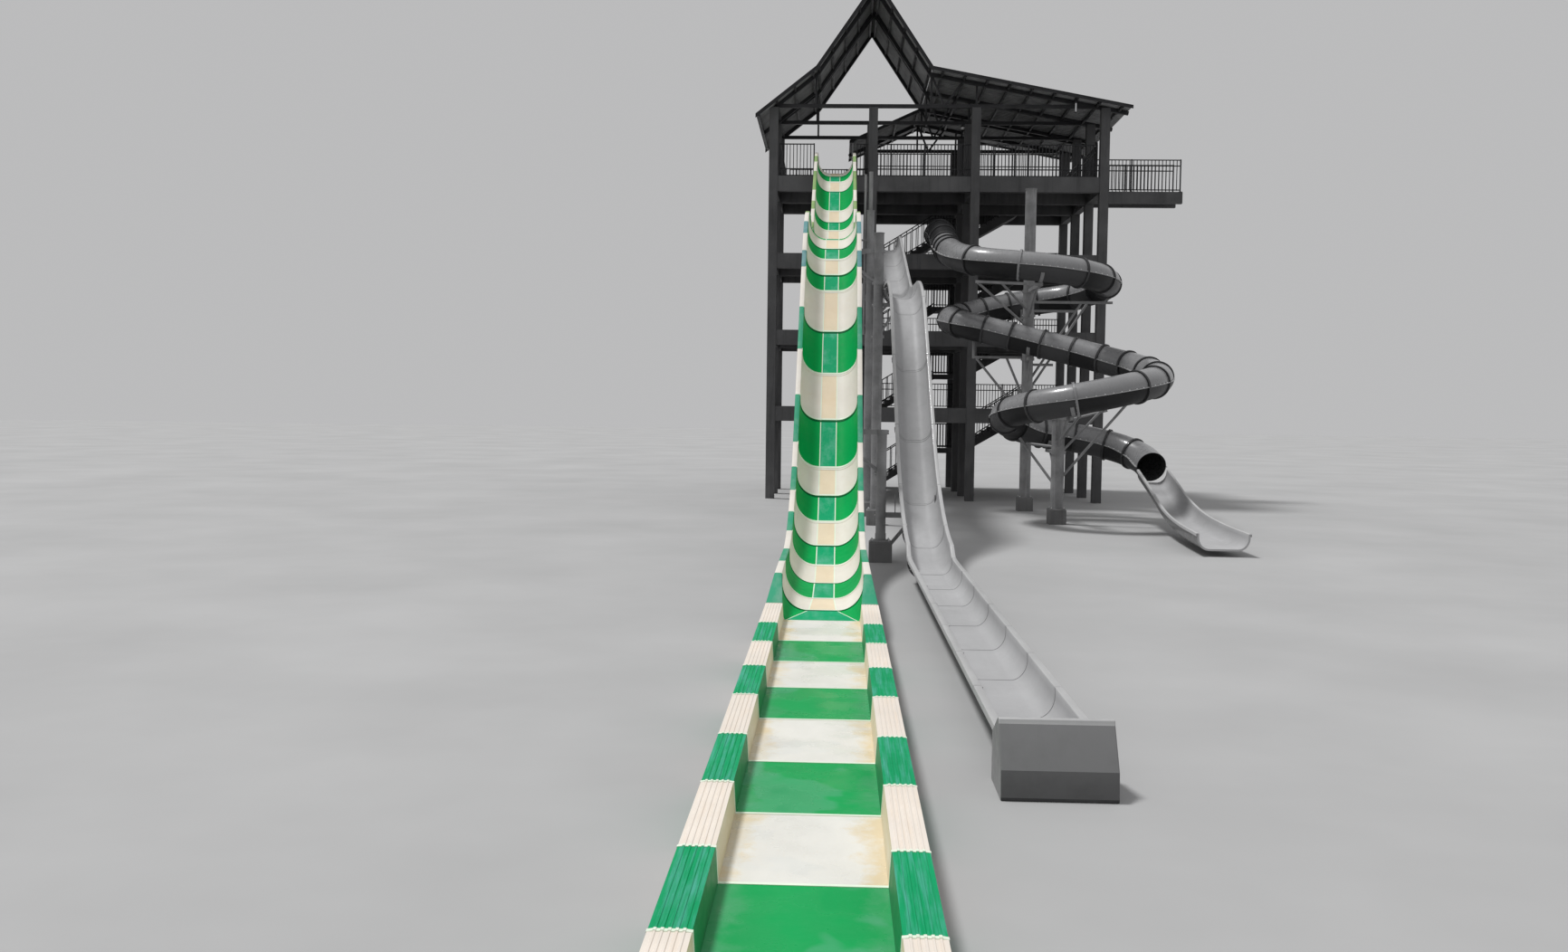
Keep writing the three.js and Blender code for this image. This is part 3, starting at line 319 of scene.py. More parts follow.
# Name, colour, stain, how stained, specular level, roughness, coat, and how the stains are drawn out
GELCOATS = {
    "green": ("green_gelcoat", (0.0, 0.39, 0.09), (0.0, 0.3, 0.09), 0.35, 0.06),
    # A dark green line below each joint on the green modules: painted shadow of the joint's lip
    "green_edge": ("green_joint_edge", (0.0, 0.12, 0.035), (0.0, 0.08, 0.03), 0.4, 0.06),
    "white": ("white_gelcoat", (0.81, 0.77, 0.7), (0.72, 0.64, 0.52), 0.4, 0.25),
    "green_strip": ("green_floor_strip", (0.0, 0.38, 0.16), (0.14, 0.48, 0.34), 0.8, 0.1),
    "white_strip": ("white_floor_strip", (0.84, 0.7, 0.52), (0.7, 0.54, 0.34), 0.3, 0.25),
    "green_rim": ("weathered_green_rim", (0.04, 0.34, 0.19), (0.2, 0.4, 0.3), 0.7, 0.12),
    "olive_rim": ("olive_rim", (0.26, 0.42, 0.16), (0.45, 0.5, 0.25), 0.6, 0.12),
    "blue_rim": ("bluish_rim", (0.14, 0.32, 0.33), (0.26, 0.42, 0.42), 0.6, 0.12),
    "white_cap": ("white_cap", (0.83, 0.76, 0.68), (0.8, 0.66, 0.52), 0.5, 0.25, SATIN, 0.0, CAP_RUN),
    "green_cap": ("green_cap", (0.0, 0.35, 0.13), (0.08, 0.4, 0.3), 1.1, 0.12, SATIN, 0.0, CAP_RUN),
    "white_wall": ("white_inner_wall", (0.78, 0.72, 0.54), (0.62, 0.5, 0.24), 0.6),
    "green_wall": ("green_inner_wall", (0.0, 0.27, 0.08), (0.04, 0.2, 0.09), 0.6),
    "joint": ("joint_sealant", (0.82, 0.9, 0.76), (0.6, 0.78, 0.6), 0.4, 0.3),
    "laminate": ("raw_laminate", (0.42, 0.43, 0.4), (0.25, 0.25, 0.22), 0.6, 0.4, (0.5, 0.7), 0.3),
    "grey_slide": ("light_grey_gelcoat", (0.45, 0.45, 0.455), grey(0.32), 0.35),
    "grey_back": ("mid_grey_laminate", (0.12, 0.12, 0.122), (0.06, 0.06, 0.062), 0.4, 0.4, WORN, 0.3),
    # Rims a paler grey than the slide: painted highlight along them
    "grey_rim": ("pale_grey_gelcoat", grey(0.5), grey(0.36), 0.4, 0.4, WORN, 0.1),
    "block": ("grey_block", (0.25, 0.25, 0.253), grey(0.19), 0.4, 0.4, WORN),
    # The block's lower face: a darker copy of its grey, as painted shade
    "block_painted_shade": ("dark_grey_block", (0.12, 0.12, 0.122), grey(0.08), 0.5, 0.4, WORN),
    "tube_top": ("grey_gelcoat", (0.26, 0.26, 0.265), (0.22, 0.22, 0.225), 0.25, 0.4, GLOSSY, 0.3),
    # The tube's lower halves: two darker copies of its grey, painted shade in two depths
    "tube_half_shade": ("mid_grey_gelcoat", (0.065, 0.065, 0.067), (0.05, 0.05, 0.051), 0.3, 0.2, WORN),
    "tube_dark_start_and_deep_shade": ("dark_grey_gelcoat", (0.018, 0.018, 0.019), grey(0.03), 0.3, 0.2, WORN),
    "tube_inside": ("tube_inner_face", (0.06, 0.06, 0.062), grey(0.03), 0.6, 0.4, GLOSSY, 0.3),
    "flange": ("dark_grey_flange", (0.03, 0.03, 0.032), grey(0.07), 0.5, 0.4, SATIN, 0.3),
    "seam": ("pale_seam", (0.4, 0.4, 0.403), grey(0.25), 0.4, 0.4, SATIN, 0.3),
}

paints = {
    "concrete": concrete_paint("concrete", (0.1, 0.1, 0.102)),
    "pedestal": concrete_paint("pedestal_concrete", grey(0.2)),
    "roof": steel_paint("roof_sheet", (0.045, 0.046, 0.048), (0.03, 0.028, 0.026), 0.2, (0.45, 0.7)),
    "roof_under": steel_paint("roof_lining", (0.26, 0.26, 0.262), grey(0.12), 0.0, (0.6, 0.8)),
    "dark_steel": steel_paint("dark_steel", (0.02, 0.02, 0.022), (0.045, 0.04, 0.036)),
    "pipe": steel_paint("support_steel", (0.25, 0.25, 0.253), (0.09, 0.085, 0.08), 0.1, (0.5, 0.7)),
    "bolt": steel_paint("bolt_steel", (0.7, 0.7, 0.705), (0.3, 0.28, 0.26), 0.1, (0.3, 0.5)),
    "lamp": steel_paint("lamp_glass", grey(0.75), grey(0.5), 0.0, (0.2, 0.3)),
    **{key: gelcoat_paint(*values) for key, values in GELCOATS.items()},
}


# Shapes

SQUARE = [(-1, -1), (1, -1), (1, 1), (-1, 1)]
BLOCK_FACES = [(0, 2, 3, 1), (4, 5, 7, 6), (0, 1, 5, 4), (2, 6, 7, 3), (0, 4, 6, 2), (1, 3, 7, 5)]


class Shape:
    """Points and faces of a piece, each face with the number of its material."""

    def __init__(self):
        self.points = []
        self.faces = []
        self.paints = []

    def add(self, points, faces, paint):
        start = len(self.points)
        self.points.extend(np.asarray(points, float).reshape(-1, 3))
        self.faces.extend([[start + i for i in face] for face in faces])
        self.paints.extend([paint] * len(faces) if isinstance(paint, int) else paint)

    def block(self, low, high):
        (x0, y0, z0), (x1, y1, z1) = low, high
        self.add([(x, y, z) for z in (z0, z1) for y in (y0, y1) for x in (x0, x1)], BLOCK_FACES, 0)

    def post(self, x, y, half, low, high):
        """An upright square block."""
        self.block((x - half, y - half, low), (x + half, y + half, high))

    def sweep(self, rings, paint=0, caps=True):
        """Skins closed rings of points. paint may be a list, one material for each side of the ring."""
        rings = np.asarray(rings, float)
        count, size = rings.shape[:2]
        sides = [paint] * size if isinstance(paint, int) else list(paint)
        faces, used = [], []
        for ring in range(count - 1):
            for i in range(size):
                a = ring * size + i
                b = ring * size + (i + 1) % size
                faces.append((a, b, b + size, a + size))
                used.append(sides[i])
        if caps:
            faces.append(tuple(range(size - 1, -1, -1)))
            faces.append(tuple(range((count - 1) * size, count * size)))
            used.extend([sides[0]] * 2)
        self.add(rings, faces, used)

    def bar(self, start, end, width, height=None, paint=0):
        """A straight bar with a rectangular section, its width level."""
        height = width if height is None else height
        self.sweep(swept([start, end], [(x * width / 2, z * height / 2) for x, z in SQUARE]), paint)

    def rod(self, path, radius, sides=12, paint=0):
        self.sweep(swept(path, circle(radius, sides)), paint)

    def pipe(self, x, y, low, high, radius, sides=12, paint=0):
        """An upright rod."""
        self.rod([(x, y, low), (x, y, high)], radius, sides, paint)

    def bolt(self, centre, axis, radius, height, paint):
        """A hexagonal head that stands on centre."""
        centre = np.asarray(centre, float)
        self.rod([centre, centre + np.asarray(axis, float) * height], radius, 6, paint)


def circle(radius, sides, first=0.5):
    angles = [(i + first) * 2 * math.pi / sides for i in range(sides)]
    return [(radius * math.cos(a), radius * math.sin(a)) for a in angles]


def frames(path):
    """Tangent, level side and up at each point of a path."""
    path = np.asarray(path, float)
    ahead = np.gradient(path, axis=0) if len(path) > 2 else np.repeat(path[1:] - path[:1], 2, axis=0)
    tangent = ahead / np.linalg.norm(ahead, axis=1, keepdims=True)
    upright = np.abs(tangent[:, 2]) > 0.99
    helper = np.where(upright[:, None], (0.0, 1.0, 0.0), (0.0, 0.0, 1.0))
    side = np.cross(tangent, helper)
    side /= np.linalg.norm(side, axis=1, keepdims=True)
    return tangent, side, np.cross(side, tangent)


def swept(path, section):
    """Rings of a section of (side, up) points at each point of a path."""
    path, section = np.asarray(path, float), np.asarray(section, float)
    _, side, up = frames(path)
    level = path[:, None, :] + section[None, :, :1] * side[:, None, :]
    return level + section[None, :, 1:] * up[:, None, :]


SHARP = math.radians(32)


def piece(name, shape, materials, slot, replaces=(), bevel=0.0):
    """Makes the object, in model metres, and hangs it on the frame."""
    mesh = bpy.data.meshes.new(name)
    mesh.from_pydata(to_model(shape.points).tolist(), [], shape.faces)
    for key in materials:
        mesh.materials.append(paints[key])
    mesh.polygons.foreach_set("material_index", shape.paints)
    bm = bmesh.new()
    bm.from_mesh(mesh)
    bmesh.ops.remove_doubles(bm, verts=bm.verts, dist=1e-6)
    bmesh.ops.recalc_face_normals(bm, faces=bm.faces)
    for face in bm.faces:
        face.smooth = True
    for edge in bm.edges:
        edge.smooth = len(edge.link_faces) == 2 and edge.calc_face_angle(0.0) < SHARP
    bm.to_mesh(mesh)
    bm.free()
    made = in_scene(name, mesh)
    if bevel:
        rounding = made.modifiers.new("bevel", "BEVEL")
        rounding.width = bevel * MODEL_SCALE
        rounding.segments = 2
        rounding.limit_method = "ANGLE"
        rounding.angle_limit = SHARP
    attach(made, "root")
    if replaces:
        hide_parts(*replaces)


# Open slides

ARC_STEP = math.radians(3)


def filleted(corners):
    """Stations (y, z, slope) along corners of (y, z, radius), with arcs at the corners."""

    def heading(a, b):
        return math.atan2(a[1] - b[1], a[0] - b[0])

    stations = [(corners[0][0], corners[0][1], heading(corners[0], corners[1]))]
    for before, corner, after in zip(corners, corners[1:], corners[2:]):
        y, z, radius = corner
        start, end = heading(before, corner), heading(corner, after)
        side = 1 if end > start else -1
        tangent = radius * math.tan(abs(end - start) / 2)
        centre_y = y + tangent * math.cos(start) + side * radius * math.sin(start)
        centre_z = z + tangent * math.sin(start) - side * radius * math.cos(start)
        for angle in np.linspace(start, end, max(3, math.ceil(abs(end - start) / ARC_STEP) + 1)):
            out_y, out_z = side * radius * math.sin(angle), side * radius * math.cos(angle)
            stations.append((centre_y - out_y, centre_z + out_z, angle))
    last = corners[-1]
    stations.append((last[0], last[1], heading(corners[-2], last)))
    return np.array(stations)


def station_at(stations, y):
    """Height and slope of a path at y. Stations run towards lower y."""
    down = stations[::-1]
    return tuple(float(np.interp(y, down[:, 0], down[:, i])) for i in (1, 2))


def on_station(station, x, up, along=0.0):
    """A point beside and above a station, and some way along its slope."""
    y, z, slope = station
    cos, sin = math.cos(slope), math.sin(slope)
    return (x, y - up * sin + along * cos, z + up * cos + along * sin)


def shape_at(shapes, y):
    """The trough's sizes at y, between those given for some places along it."""
    places = [place for place, _ in shapes][::-1]
    sizes = [size for _, size in shapes][::-1]
    return {key: float(np.interp(y, places, [size[key] for size in sizes])) for key in sizes[0]}


CURVE_SHARE = 0.75
QUARTER = np.linspace(0, math.pi / 2, 13)
BORDER = 0.022
ROUND_EDGE = 0.018
LIP = 0.075
LIP_THICKNESS = 0.02
SHELL_PAINT, STRIP_PAINT, BORDER_PAINT, BACK_PAINT, RIM_PAINT, BOLT_PAINT, JOINT_PAINT, JOINT_SHADOW_PAINT = range(8)


def mirrored(points):
    return [(-x, z) for x, z in points[::-1]]


def wall_curve(size, shell=0.0):
    """Points (across, up) of the right wall's curve, or of its outside, from the flat floor up."""
    reach = size["width"] - size["flat"] + shell
    rise = size["depth"] * CURVE_SHARE + shell
    quarter = zip(np.sin(QUARTER), 1 - np.cos(QUARTER))
    return [(size["flat"] + reach * a, rise * u - shell) for a, u in quarter]


def trough_section(size):
    """Closed outline of a trough, as (across, up) points and the material of the side after each."""
    width, depth, shell = size["width"], size["depth"], size["shell"]
    outer = width + size["rim"]
    bend = [(0.0, ROUND_EDGE), (0.3 * ROUND_EDGE, 0.3 * ROUND_EDGE), (ROUND_EDGE, 0.0)]
    rim = [(width + x, depth - z) for x, z in bend] + [(outer - x, depth - z) for x, z in bend[::-1]]
    back = [(outer - LIP_THICKNESS, depth - LIP), (outer - LIP_THICKNESS, depth - LIP_THICKNESS)]
    back += [(width + shell, depth - LIP_THICKNESS), *wall_curve(size, shell)[::-1]]
    half = [(size["flat"] - BORDER, 0.0), *wall_curve(size), *rim, (outer, depth - LIP), *back]
    half_paints = [BORDER_PAINT] + [SHELL_PAINT] * len(QUARTER)
    half_paints += [RIM_PAINT] * (len(rim) + 1) + [BACK_PAINT] * len(back)
    return half + mirrored(half), [*half_paints, *half_paints[:-1][::-1], STRIP_PAINT]


def trough_rings(stations, shapes, move):
    """The trough's outline at each station."""
    rings = []
    for station in stations:
        points, _ = trough_section(shape_at(shapes, station[0]))
        rings.append([move(on_station(station, x, up)) for x, up in points])
    return rings


def stretch(stations, shapes, start, end):
    """The stations from start to end, a step apart at most, with each place of the shapes."""
    count = max(1, math.ceil((start - end) / STATION_STEP))
    places = set(np.linspace(start, end, count + 1).tolist())
    wanted = [*stations[:, 0], *(place for place, _ in shapes)]
    places |= {float(y) for y in wanted if end + STATION_SLACK < y < start - STATION_SLACK}
    return [(y, *station_at(stations, y)) for y in sorted(places, reverse=True)]


FLANGE = 0.055
FLANGE_THICKNESS = 0.022
FLANGE_BOLT = {"radius": 0.016, "height": 0.014, "paint": BOLT_PAINT}
FIRST_FLANGE_INSET = 0.03
JOINT_GAP = 0.006
STATION_STEP = 0.6
STATION_SLACK = 0.04
BAND_HALF = 0.026
# Section of the bands across a joint, the sealant and the painted shadow line beside it, as (along, up from
# the wall)
BAND = [(-BAND_HALF, -0.004), (-BAND_HALF, 0.006), (BAND_HALF, 0.006), (BAND_HALF, -0.004)]
FLANGES_END_Y = -25.5


def trough_flange(shape, stations, shapes, move, y):
    """The pair of bolted flanges round the outside of a trough at the joint at y."""
    station = (y, *station_at(stations, y))
    size = shape_at(shapes, y)

    def outline(offset):
        out = size["shell"] + offset
        right = wall_curve(size, out)[1:]
        return [*mirrored(right), (0.0, -out), *right]

    def place(x, up, along):
        return move(on_station(station, x, up, along))

    loop = outline(0.0) + outline(FLANGE)[::-1]
    ends = (-FLANGE_THICKNESS, FLANGE_THICKNESS)
    shape.sweep([[place(x, up, along) for x, up in loop] for along in ends], BACK_PAINT)
    ahead = np.array((0.0, math.cos(station[2]), math.sin(station[2])))
    for x, up in outline(FLANGE * 0.5)[1:-1:3]:
        for along in ends:
            shape.bolt(place(x, up, along), math.copysign(1, along) * ahead, **FLANGE_BOLT)


def joint_band(shape, stations, shapes, move, y, paint):
    """A thin band across the inside of a trough, used for the line of sealant and for the painted shadow
    line beside it.
    """
    station = (y, *station_at(stations, y))
    size = shape_at(shapes, y)
    right = [*wall_curve(size), (size["width"], size["depth"])]
    rings = []
    for x, up in mirrored(right) + right:
        inwards = x / size["width"] if abs(x) > size["flat"] else 0
        ring = [(x - inwards * lift, up + lift, along) for along, lift in BAND]
        rings.append([move(on_station(station, *point)) for point in ring])
    shape.sweep(rings, paint)


def beside_main(point):
    return (point[0] + MAIN_X, point[1], point[2])


def beside_grey(point):
    x, y = point[0], point[1] - GREY_TURN_Y
    cos, sin = math.cos(GREY_TURN), math.sin(GREY_TURN)
    return (GREY_X + cos * x - sin * y, GREY_TURN_Y + sin * x + cos * y, point[2])


def slide_modules(prefix, stations, shapes, joints, move, looks, nodes):
    """One piece for each module between two joints, with a flange at its upper end on the modules above
    FLANGES_END_Y.
    """
    for i, (start, end) in enumerate(zip(joints, joints[1:])):
        shape = Shape()
        _, sides = trough_section(shape_at(shapes, start))
        part = stretch(stations, shapes, start - JOINT_GAP, end + JOINT_GAP)
        shape.sweep(trough_rings(part, shapes, move), sides)
        if start > FLANGES_END_Y:
            trough_flange(shape, stations, shapes, move, start if i else start - FIRST_FLANGE_INSET)
        if i:
            joint_band(shape, stations, shapes, move, start, JOINT_PAINT)
            # A painted shadow line just below the sealant; on the white modules it is plain white
            joint_band(shape, stations, shapes, move, start - 2 * BAND_HALF, JOINT_SHADOW_PAINT)
        node = next(name for name, low in nodes.items() if (start + end) / 2 >= low)
        piece(f"{prefix}_module_{i + 1:02d}", shape, *looks[i % len(looks)], [f"{prefix}_{node}"])


WHITE_MODULE = ["white", "white_strip", "joint", "laminate", "white", "bolt", "joint", "white"]
GREY_MODULE_PAINTS = [*["grey_slide"] * 3, "grey_back", "grey_rim", "bolt", "grey_slide", "grey_slide"]
# The green modules' rims have faded in different tints, from the top down
GREEN_RIMS = ["olive_rim"] * 6 + ["blue_rim"] * 2 + ["green_rim"] * 6

main_looks = []
for rim in GREEN_RIMS:
    green = ["green", "green_strip", "joint", "laminate", rim, "bolt", "joint", "green_edge"]
    main_looks += [(WHITE_MODULE, "white_gelcoat"), (green, "green_gelcoat")]
main_stations = filleted(MAIN_PATH)
slide_modules("main_slide", main_stations, MAIN_SHAPES, MAIN_JOINTS, beside_main, main_looks, MAIN_NODES)

grey_stations = filleted(GREY_PATH)
top, foot = GREY_PATH[0][0], GREY_PATH[-1][0]
grey_joints = np.linspace(top, foot, round((top - foot) / GREY_MODULE) + 1).tolist()
grey_looks = [(GREY_MODULE_PAINTS, "light_grey_gelcoat")]
slide_modules("grey_slide", grey_stations, GREY_SHAPES, grey_joints, beside_grey, grey_looks, GREY_NODES)


# Run-out of the main slide: low walls with ribbed caps, in the same two colours

CAP_RIBS = 5
CAP_RIB = {"width": 0.022, "height": 0.007}
RUN_OUT_WALL = 0.03


def run_out_section():
    """Outline of the run-out over its caps and floor, the points beneath, and all their materials."""
    floor, top, half, opening, floor_half = RUN_OUT.values()
    cap = []
    pitch = (half - opening) / (CAP_RIBS + 1)
    cap_top = top - CAP_RIB["height"]
    rib = CAP_RIB["width"] / 2
    for i in range(CAP_RIBS):
        x = half - pitch * (i + 1)
        cap += [(x + rib, cap_top), (x + 0.6 * rib, top), (x - 0.6 * rib, top), (x - rib, cap_top)]
    right = [(half, 0.0), (half, cap_top), *cap, (opening, cap_top), (floor_half, floor)]
    wall = RUN_OUT_WALL
    under = [(floor_half + wall, floor - wall), (opening + wall, cap_top - wall)]
    under += [(half - wall, cap_top - wall), (half - wall, 0.0)]
    over, below = right + mirrored(right), mirrored(under) + under
    caps = [SHELL_PAINT] * (len(right) - 2)
    over_paints = [*caps, BORDER_PAINT, STRIP_PAINT, BORDER_PAINT, *caps]
    return over, below, over_paints + [BACK_PAINT] * (len(below) + 1)


def stained_floor(name, colour, stain, edge_stain, wet_sheen):
    """Run-out floor: stained along both walls, speckled, and with wet patches whose sheen is painted as a
    greyer tone.
    """
    paint = Paint(name, specular=0.15)
    middle = to_model((MAIN_X, 0, 0))[0][0]
    from_middle = paint.math("ABSOLUTE", paint.math("SUBTRACT", paint.axis("X"), middle))
    wobble = paint.math("MULTIPLY", paint.spread(paint.noise(5.0, 6.0, 0.7), 0.3, 0.7, -1.0, 1.0), 0.09)
    near_wall = paint.spread(paint.math("ADD", from_middle, wobble), 0.19, 0.3)
    base = paint.shades(paint.noise(4.0, 6.0, 0.65, (1.0, 0.35, 1.0)), colour, (0.35, 0.93), (0.65, 1.0))
    specks = paint.spread(paint.noise(80.0, 4.0, 0.7), 0.58, 0.72)
    stained = paint.cover(paint.cover(base, specks, 0.45, stain), near_wall, 0.75, edge_stain)
    # Wet patches: the water's sheen painted over the floor as a greyer tone
    puddle = paint.spread(paint.noise(1.7, 3.0, 0.5), 0.57, 0.6)
    rough = paint.spread(paint.noise(3.0, 5.0), 0.4, 0.6, 0.15, 0.5)
    height = paint.noise(22.0, 5.0, 0.6)
    return paint.finish(paint.cover(stained, puddle, 0.3, wet_sheen), rough, height, 0.0012, 0.4)


paints["white_floor"] = stained_floor(
    "white_run_out_floor", (0.8, 0.79, 0.74), (0.74, 0.68, 0.54), (0.72, 0.58, 0.34), (0.68, 0.7, 0.68)
)
paints["green_floor"] = stained_floor(
    "green_run_out_floor", (0.0, 0.37, 0.09), (0.03, 0.42, 0.16), (0.07, 0.38, 0.16), (0.14, 0.42, 0.28)
)

JOINT_HALF = 0.02
JOINT_PROUD = 0.006


def run_out_joint(shape, over, y):
    """The raised edge of a module, over its caps, walls and floor, in the rim's material."""
    over = np.array(over)
    ahead = np.gradient(over, axis=0)
    normal = np.stack([ahead[:, 1], -ahead[:, 0]], axis=1)
    normal *= JOINT_PROUD / np.linalg.norm(normal, axis=1, keepdims=True)
    loop = np.concatenate([over + normal, (over - normal)[::-1]])
    ends = (y - JOINT_HALF, y + JOINT_HALF)
    shape.sweep([[(x + MAIN_X, end, z) for x, z in loop] for end in ends], RIM_PAINT)


over, below, section_paints = run_out_section()
for i, (start, end) in enumerate(zip(RUN_OUT_JOINTS, RUN_OUT_JOINTS[1:])):
    colour = "green" if i % 2 else "white"
    shape = Shape()
    ends = (start - JOINT_GAP, end + JOINT_GAP)
    shape.sweep([[(x + MAIN_X, y, z) for x, z in over + below] for y in ends], section_paints)
    if i:
        run_out_joint(shape, over, start)
    look = [f"{colour}_cap", f"{colour}_floor", f"{colour}_wall", "laminate", "joint"]
    piece(f"run_out_module_{i + 1}", shape, look, f"{colour}_gelcoat", ["run_out"])

shape = Shape()
shape.block(*real_box("run_out_end_wall"))
piece("run_out_end_wall_moulding", shape, ["white"], "white_gelcoat", ["run_out_end_wall"], bevel=0.03)


# Tube slide

CURVE_PIECES = 24


def smooth_line(points):
    """A centripetal Catmull-Rom line through the points."""
    p = np.asarray(points, float)
    p = np.vstack([2 * p[0] - p[1], p, 2 * p[-1] - p[-2]])
    line = [p[1]]
    for a, b, c, d in zip(p, p[1:], p[2:], p[3:]):
        ab, bc, cd = (math.sqrt(np.linalg.norm(v - u)) for u, v in ((a, b), (b, c), (c, d)))
        leave = ((b - a) / ab - (c - a) / (ab + bc) + (c - b) / bc) * bc
        arrive = ((c - b) / bc - (d - b) / (bc + cd) + (d - c) / cd) * bc
        square, cube = 3 * (c - b) - 2 * leave - arrive, 2 * (b - c) + leave + arrive
        for t in np.linspace(0, 1, CURVE_PIECES + 1)[1:]:
            line.append(b + leave * t + square * t**2 + cube * t**3)
    return np.array(line)


def run_along(line):
    """Length along a line at each of its points."""
    return np.concatenate([[0], np.cumsum(np.linalg.norm(np.diff(line, axis=0), axis=1))])


def at_lengths(line, places, values=None):
    """Points of a line, or values given at its points, at lengths along it."""
    run = run_along(line)
    values = line if values is None else values
    return np.stack([np.interp(places, run, values[:, i]) for i in range(3)], axis=-1)


def evenly(line, count):
    """The line again, as count equal stretches."""
    return at_lengths(line, np.linspace(0, run_along(line)[-1], count + 1))


TUBE_SIDES = 48
TUBE_STEP = 0.13
RING_REACH = 0.05
RING_HALF = 0.036
RING_OVERLAP = 0.006
BOLT_SHARE = 0.6
EXIT_STEPS = 60
RING_BOLTS = 18
SEAM_REACH = 0.045
SEAM_HALF = 0.012
SEAM_OVERLAP = 0.01
SEAM_BOLT_PITCH = 0.24
LEG_END_SLACK = 0.1
UPPER, LOWER, INSIDE, RING, BOLT, SEAM = range(6)
RING_BOLT = {"radius": 0.016, "height": 0.014, "paint": RING}
SEAM_BOLT = {"radius": 0.022, "height": 0.02, "paint": BOLT}


def seam_flange(shape, path, side):
    """The flange along the middle of a tube section's side, with its bolts."""
    inner, outer = side * (TUBE_RADIUS - SEAM_OVERLAP), side * (TUBE_RADIUS + SEAM_REACH)
    section = [(inner, -SEAM_HALF), (outer, -SEAM_HALF), (outer, SEAM_HALF), (inner, SEAM_HALF)]
    shape.sweep(swept(path, section), SEAM)
    bolts = evenly(path, max(3, round(run_along(path)[-1] / SEAM_BOLT_PITCH)))
    _, across, above = frames(bolts)
    for at, out, up in zip(bolts[1:-1], across[1:-1], above[1:-1]):
        centre = at + side * (TUBE_RADIUS + BOLT_SHARE * SEAM_REACH) * out + SEAM_HALF * up
        shape.bolt(centre, up, **SEAM_BOLT)


def tube_shell(shape, path):
    """The tube's wall: an upper and a lower half outside, which meet at its sides, and an inner face. The
    lower half takes its own material, a darker copy of the grey as painted shade.
    """
    outside = swept(path, circle(TUBE_RADIUS, TUBE_SIDES, 0))
    inside = swept(path, circle(TUBE_RADIUS - TUBE_WALL, TUBE_SIDES, 0))
    halves = [UPPER] * (TUBE_SIDES // 2) + [LOWER] * (TUBE_SIDES // 2)
    shape.sweep(outside, halves, caps=False)
    shape.sweep(inside, INSIDE, caps=False)
    for end in (0, -1):
        shape.sweep([inside[end], outside[end]], RING, caps=False)


def ring_flange(shape, at, along):
    """A pair of bolted flanges round the tube."""
    ends = [at - along * RING_HALF, at + along * RING_HALF]
    inside = swept(ends, circle(TUBE_RADIUS - RING_OVERLAP, TUBE_SIDES))
    outside = swept(ends, circle(TUBE_RADIUS + RING_REACH, TUBE_SIDES))
    shape.sweep([inside[0], *outside, inside[1], inside[0]], RING, caps=False)
    _, side, up = frames(ends)
    for x, z in circle(TUBE_RADIUS + BOLT_SHARE * RING_REACH, RING_BOLTS):
        shape.bolt(ends[1] + x * side[0] + z * up[0], along, **RING_BOLT)


tube_line = smooth_line([point for points in TUBE_POINTS.values() for point in points])
tube_run = run_along(tube_line)
tube_tangents = frames(tube_line)[0]
last_points = np.cumsum([len(points) for points in TUBE_POINTS.values()]) - 1
leg_ends = [tube_run[last * CURVE_PIECES] for last in last_points]
leg_starts = [0.0, *leg_ends[:-1]]
TUBE_JOINTS[-1] = tube_run[-1]
for i, (start, end) in enumerate(zip(TUBE_JOINTS, TUBE_JOINTS[1:])):
    nodes = [
        node
        for node, low, high in zip(TUBE_POINTS, leg_starts, leg_ends)
        if low < end - LEG_END_SLACK and high > start + LEG_END_SLACK
    ]
    shape = Shape()
    steps = max(2, math.ceil((end - start) / TUBE_STEP))
    path = at_lengths(tube_line, np.linspace(start, end, steps + 1))
    tube_shell(shape, path)
    for side in (-1, 1):
        seam_flange(shape, path, side)
    place = start if i else RING_HALF
    along = at_lengths(tube_line, place, tube_tangents)
    ring_flange(shape, at_lengths(tube_line, place), along / np.linalg.norm(along))
    # The first sections are dark grey all round
    in_dark_start = end <= TUBE_DARK_START_END
    upper = "tube_dark_start_and_deep_shade" if in_dark_start else "tube_top"
    # The lower half is painted darker than the upper as painted shade, in two tones taken in turn from
    # section to section
    lower = "tube_dark_start_and_deep_shade" if i % 2 else "tube_half_shade"
    ring = "tube_top" if start in PALE_JOINTS else "flange"
    seams = ["flange", "flange"] if in_dark_start else ["bolt", "seam"]
    look = [upper, lower, "tube_inside", ring, *seams]
    piece(f"tube_section_{i + 1:02d}", shape, look, "grey_gelcoat", nodes)

exit_line = evenly(smooth_line(EXIT_POINTS), EXIT_STEPS)
_, exit_sides, exit_ups = frames(exit_line)
rings = []
for at, side, up, share in zip(exit_line, exit_sides, exit_ups, np.linspace(0, 1, len(exit_line))):
    blend = max(0.0, (share - EXIT_FLARE_START) / (1 - EXIT_FLARE_START))
    size = {key: EXIT_TROUGH[key] + (EXIT_MOUTH[key] - EXIT_TROUGH[key]) * blend for key in EXIT_TROUGH}
    outline, outline_paints = trough_section(size)
    rings.append([at + x * side + z * up for x, z in outline])
shape = Shape()
shape.sweep(rings, outline_paints)
piece("tube_exit_trough", shape, GREY_MODULE_PAINTS[:5], "grey_gelcoat", ["tube_exit_chute"])


# Roof: ribbed sheets on purlins, with trims along their edges

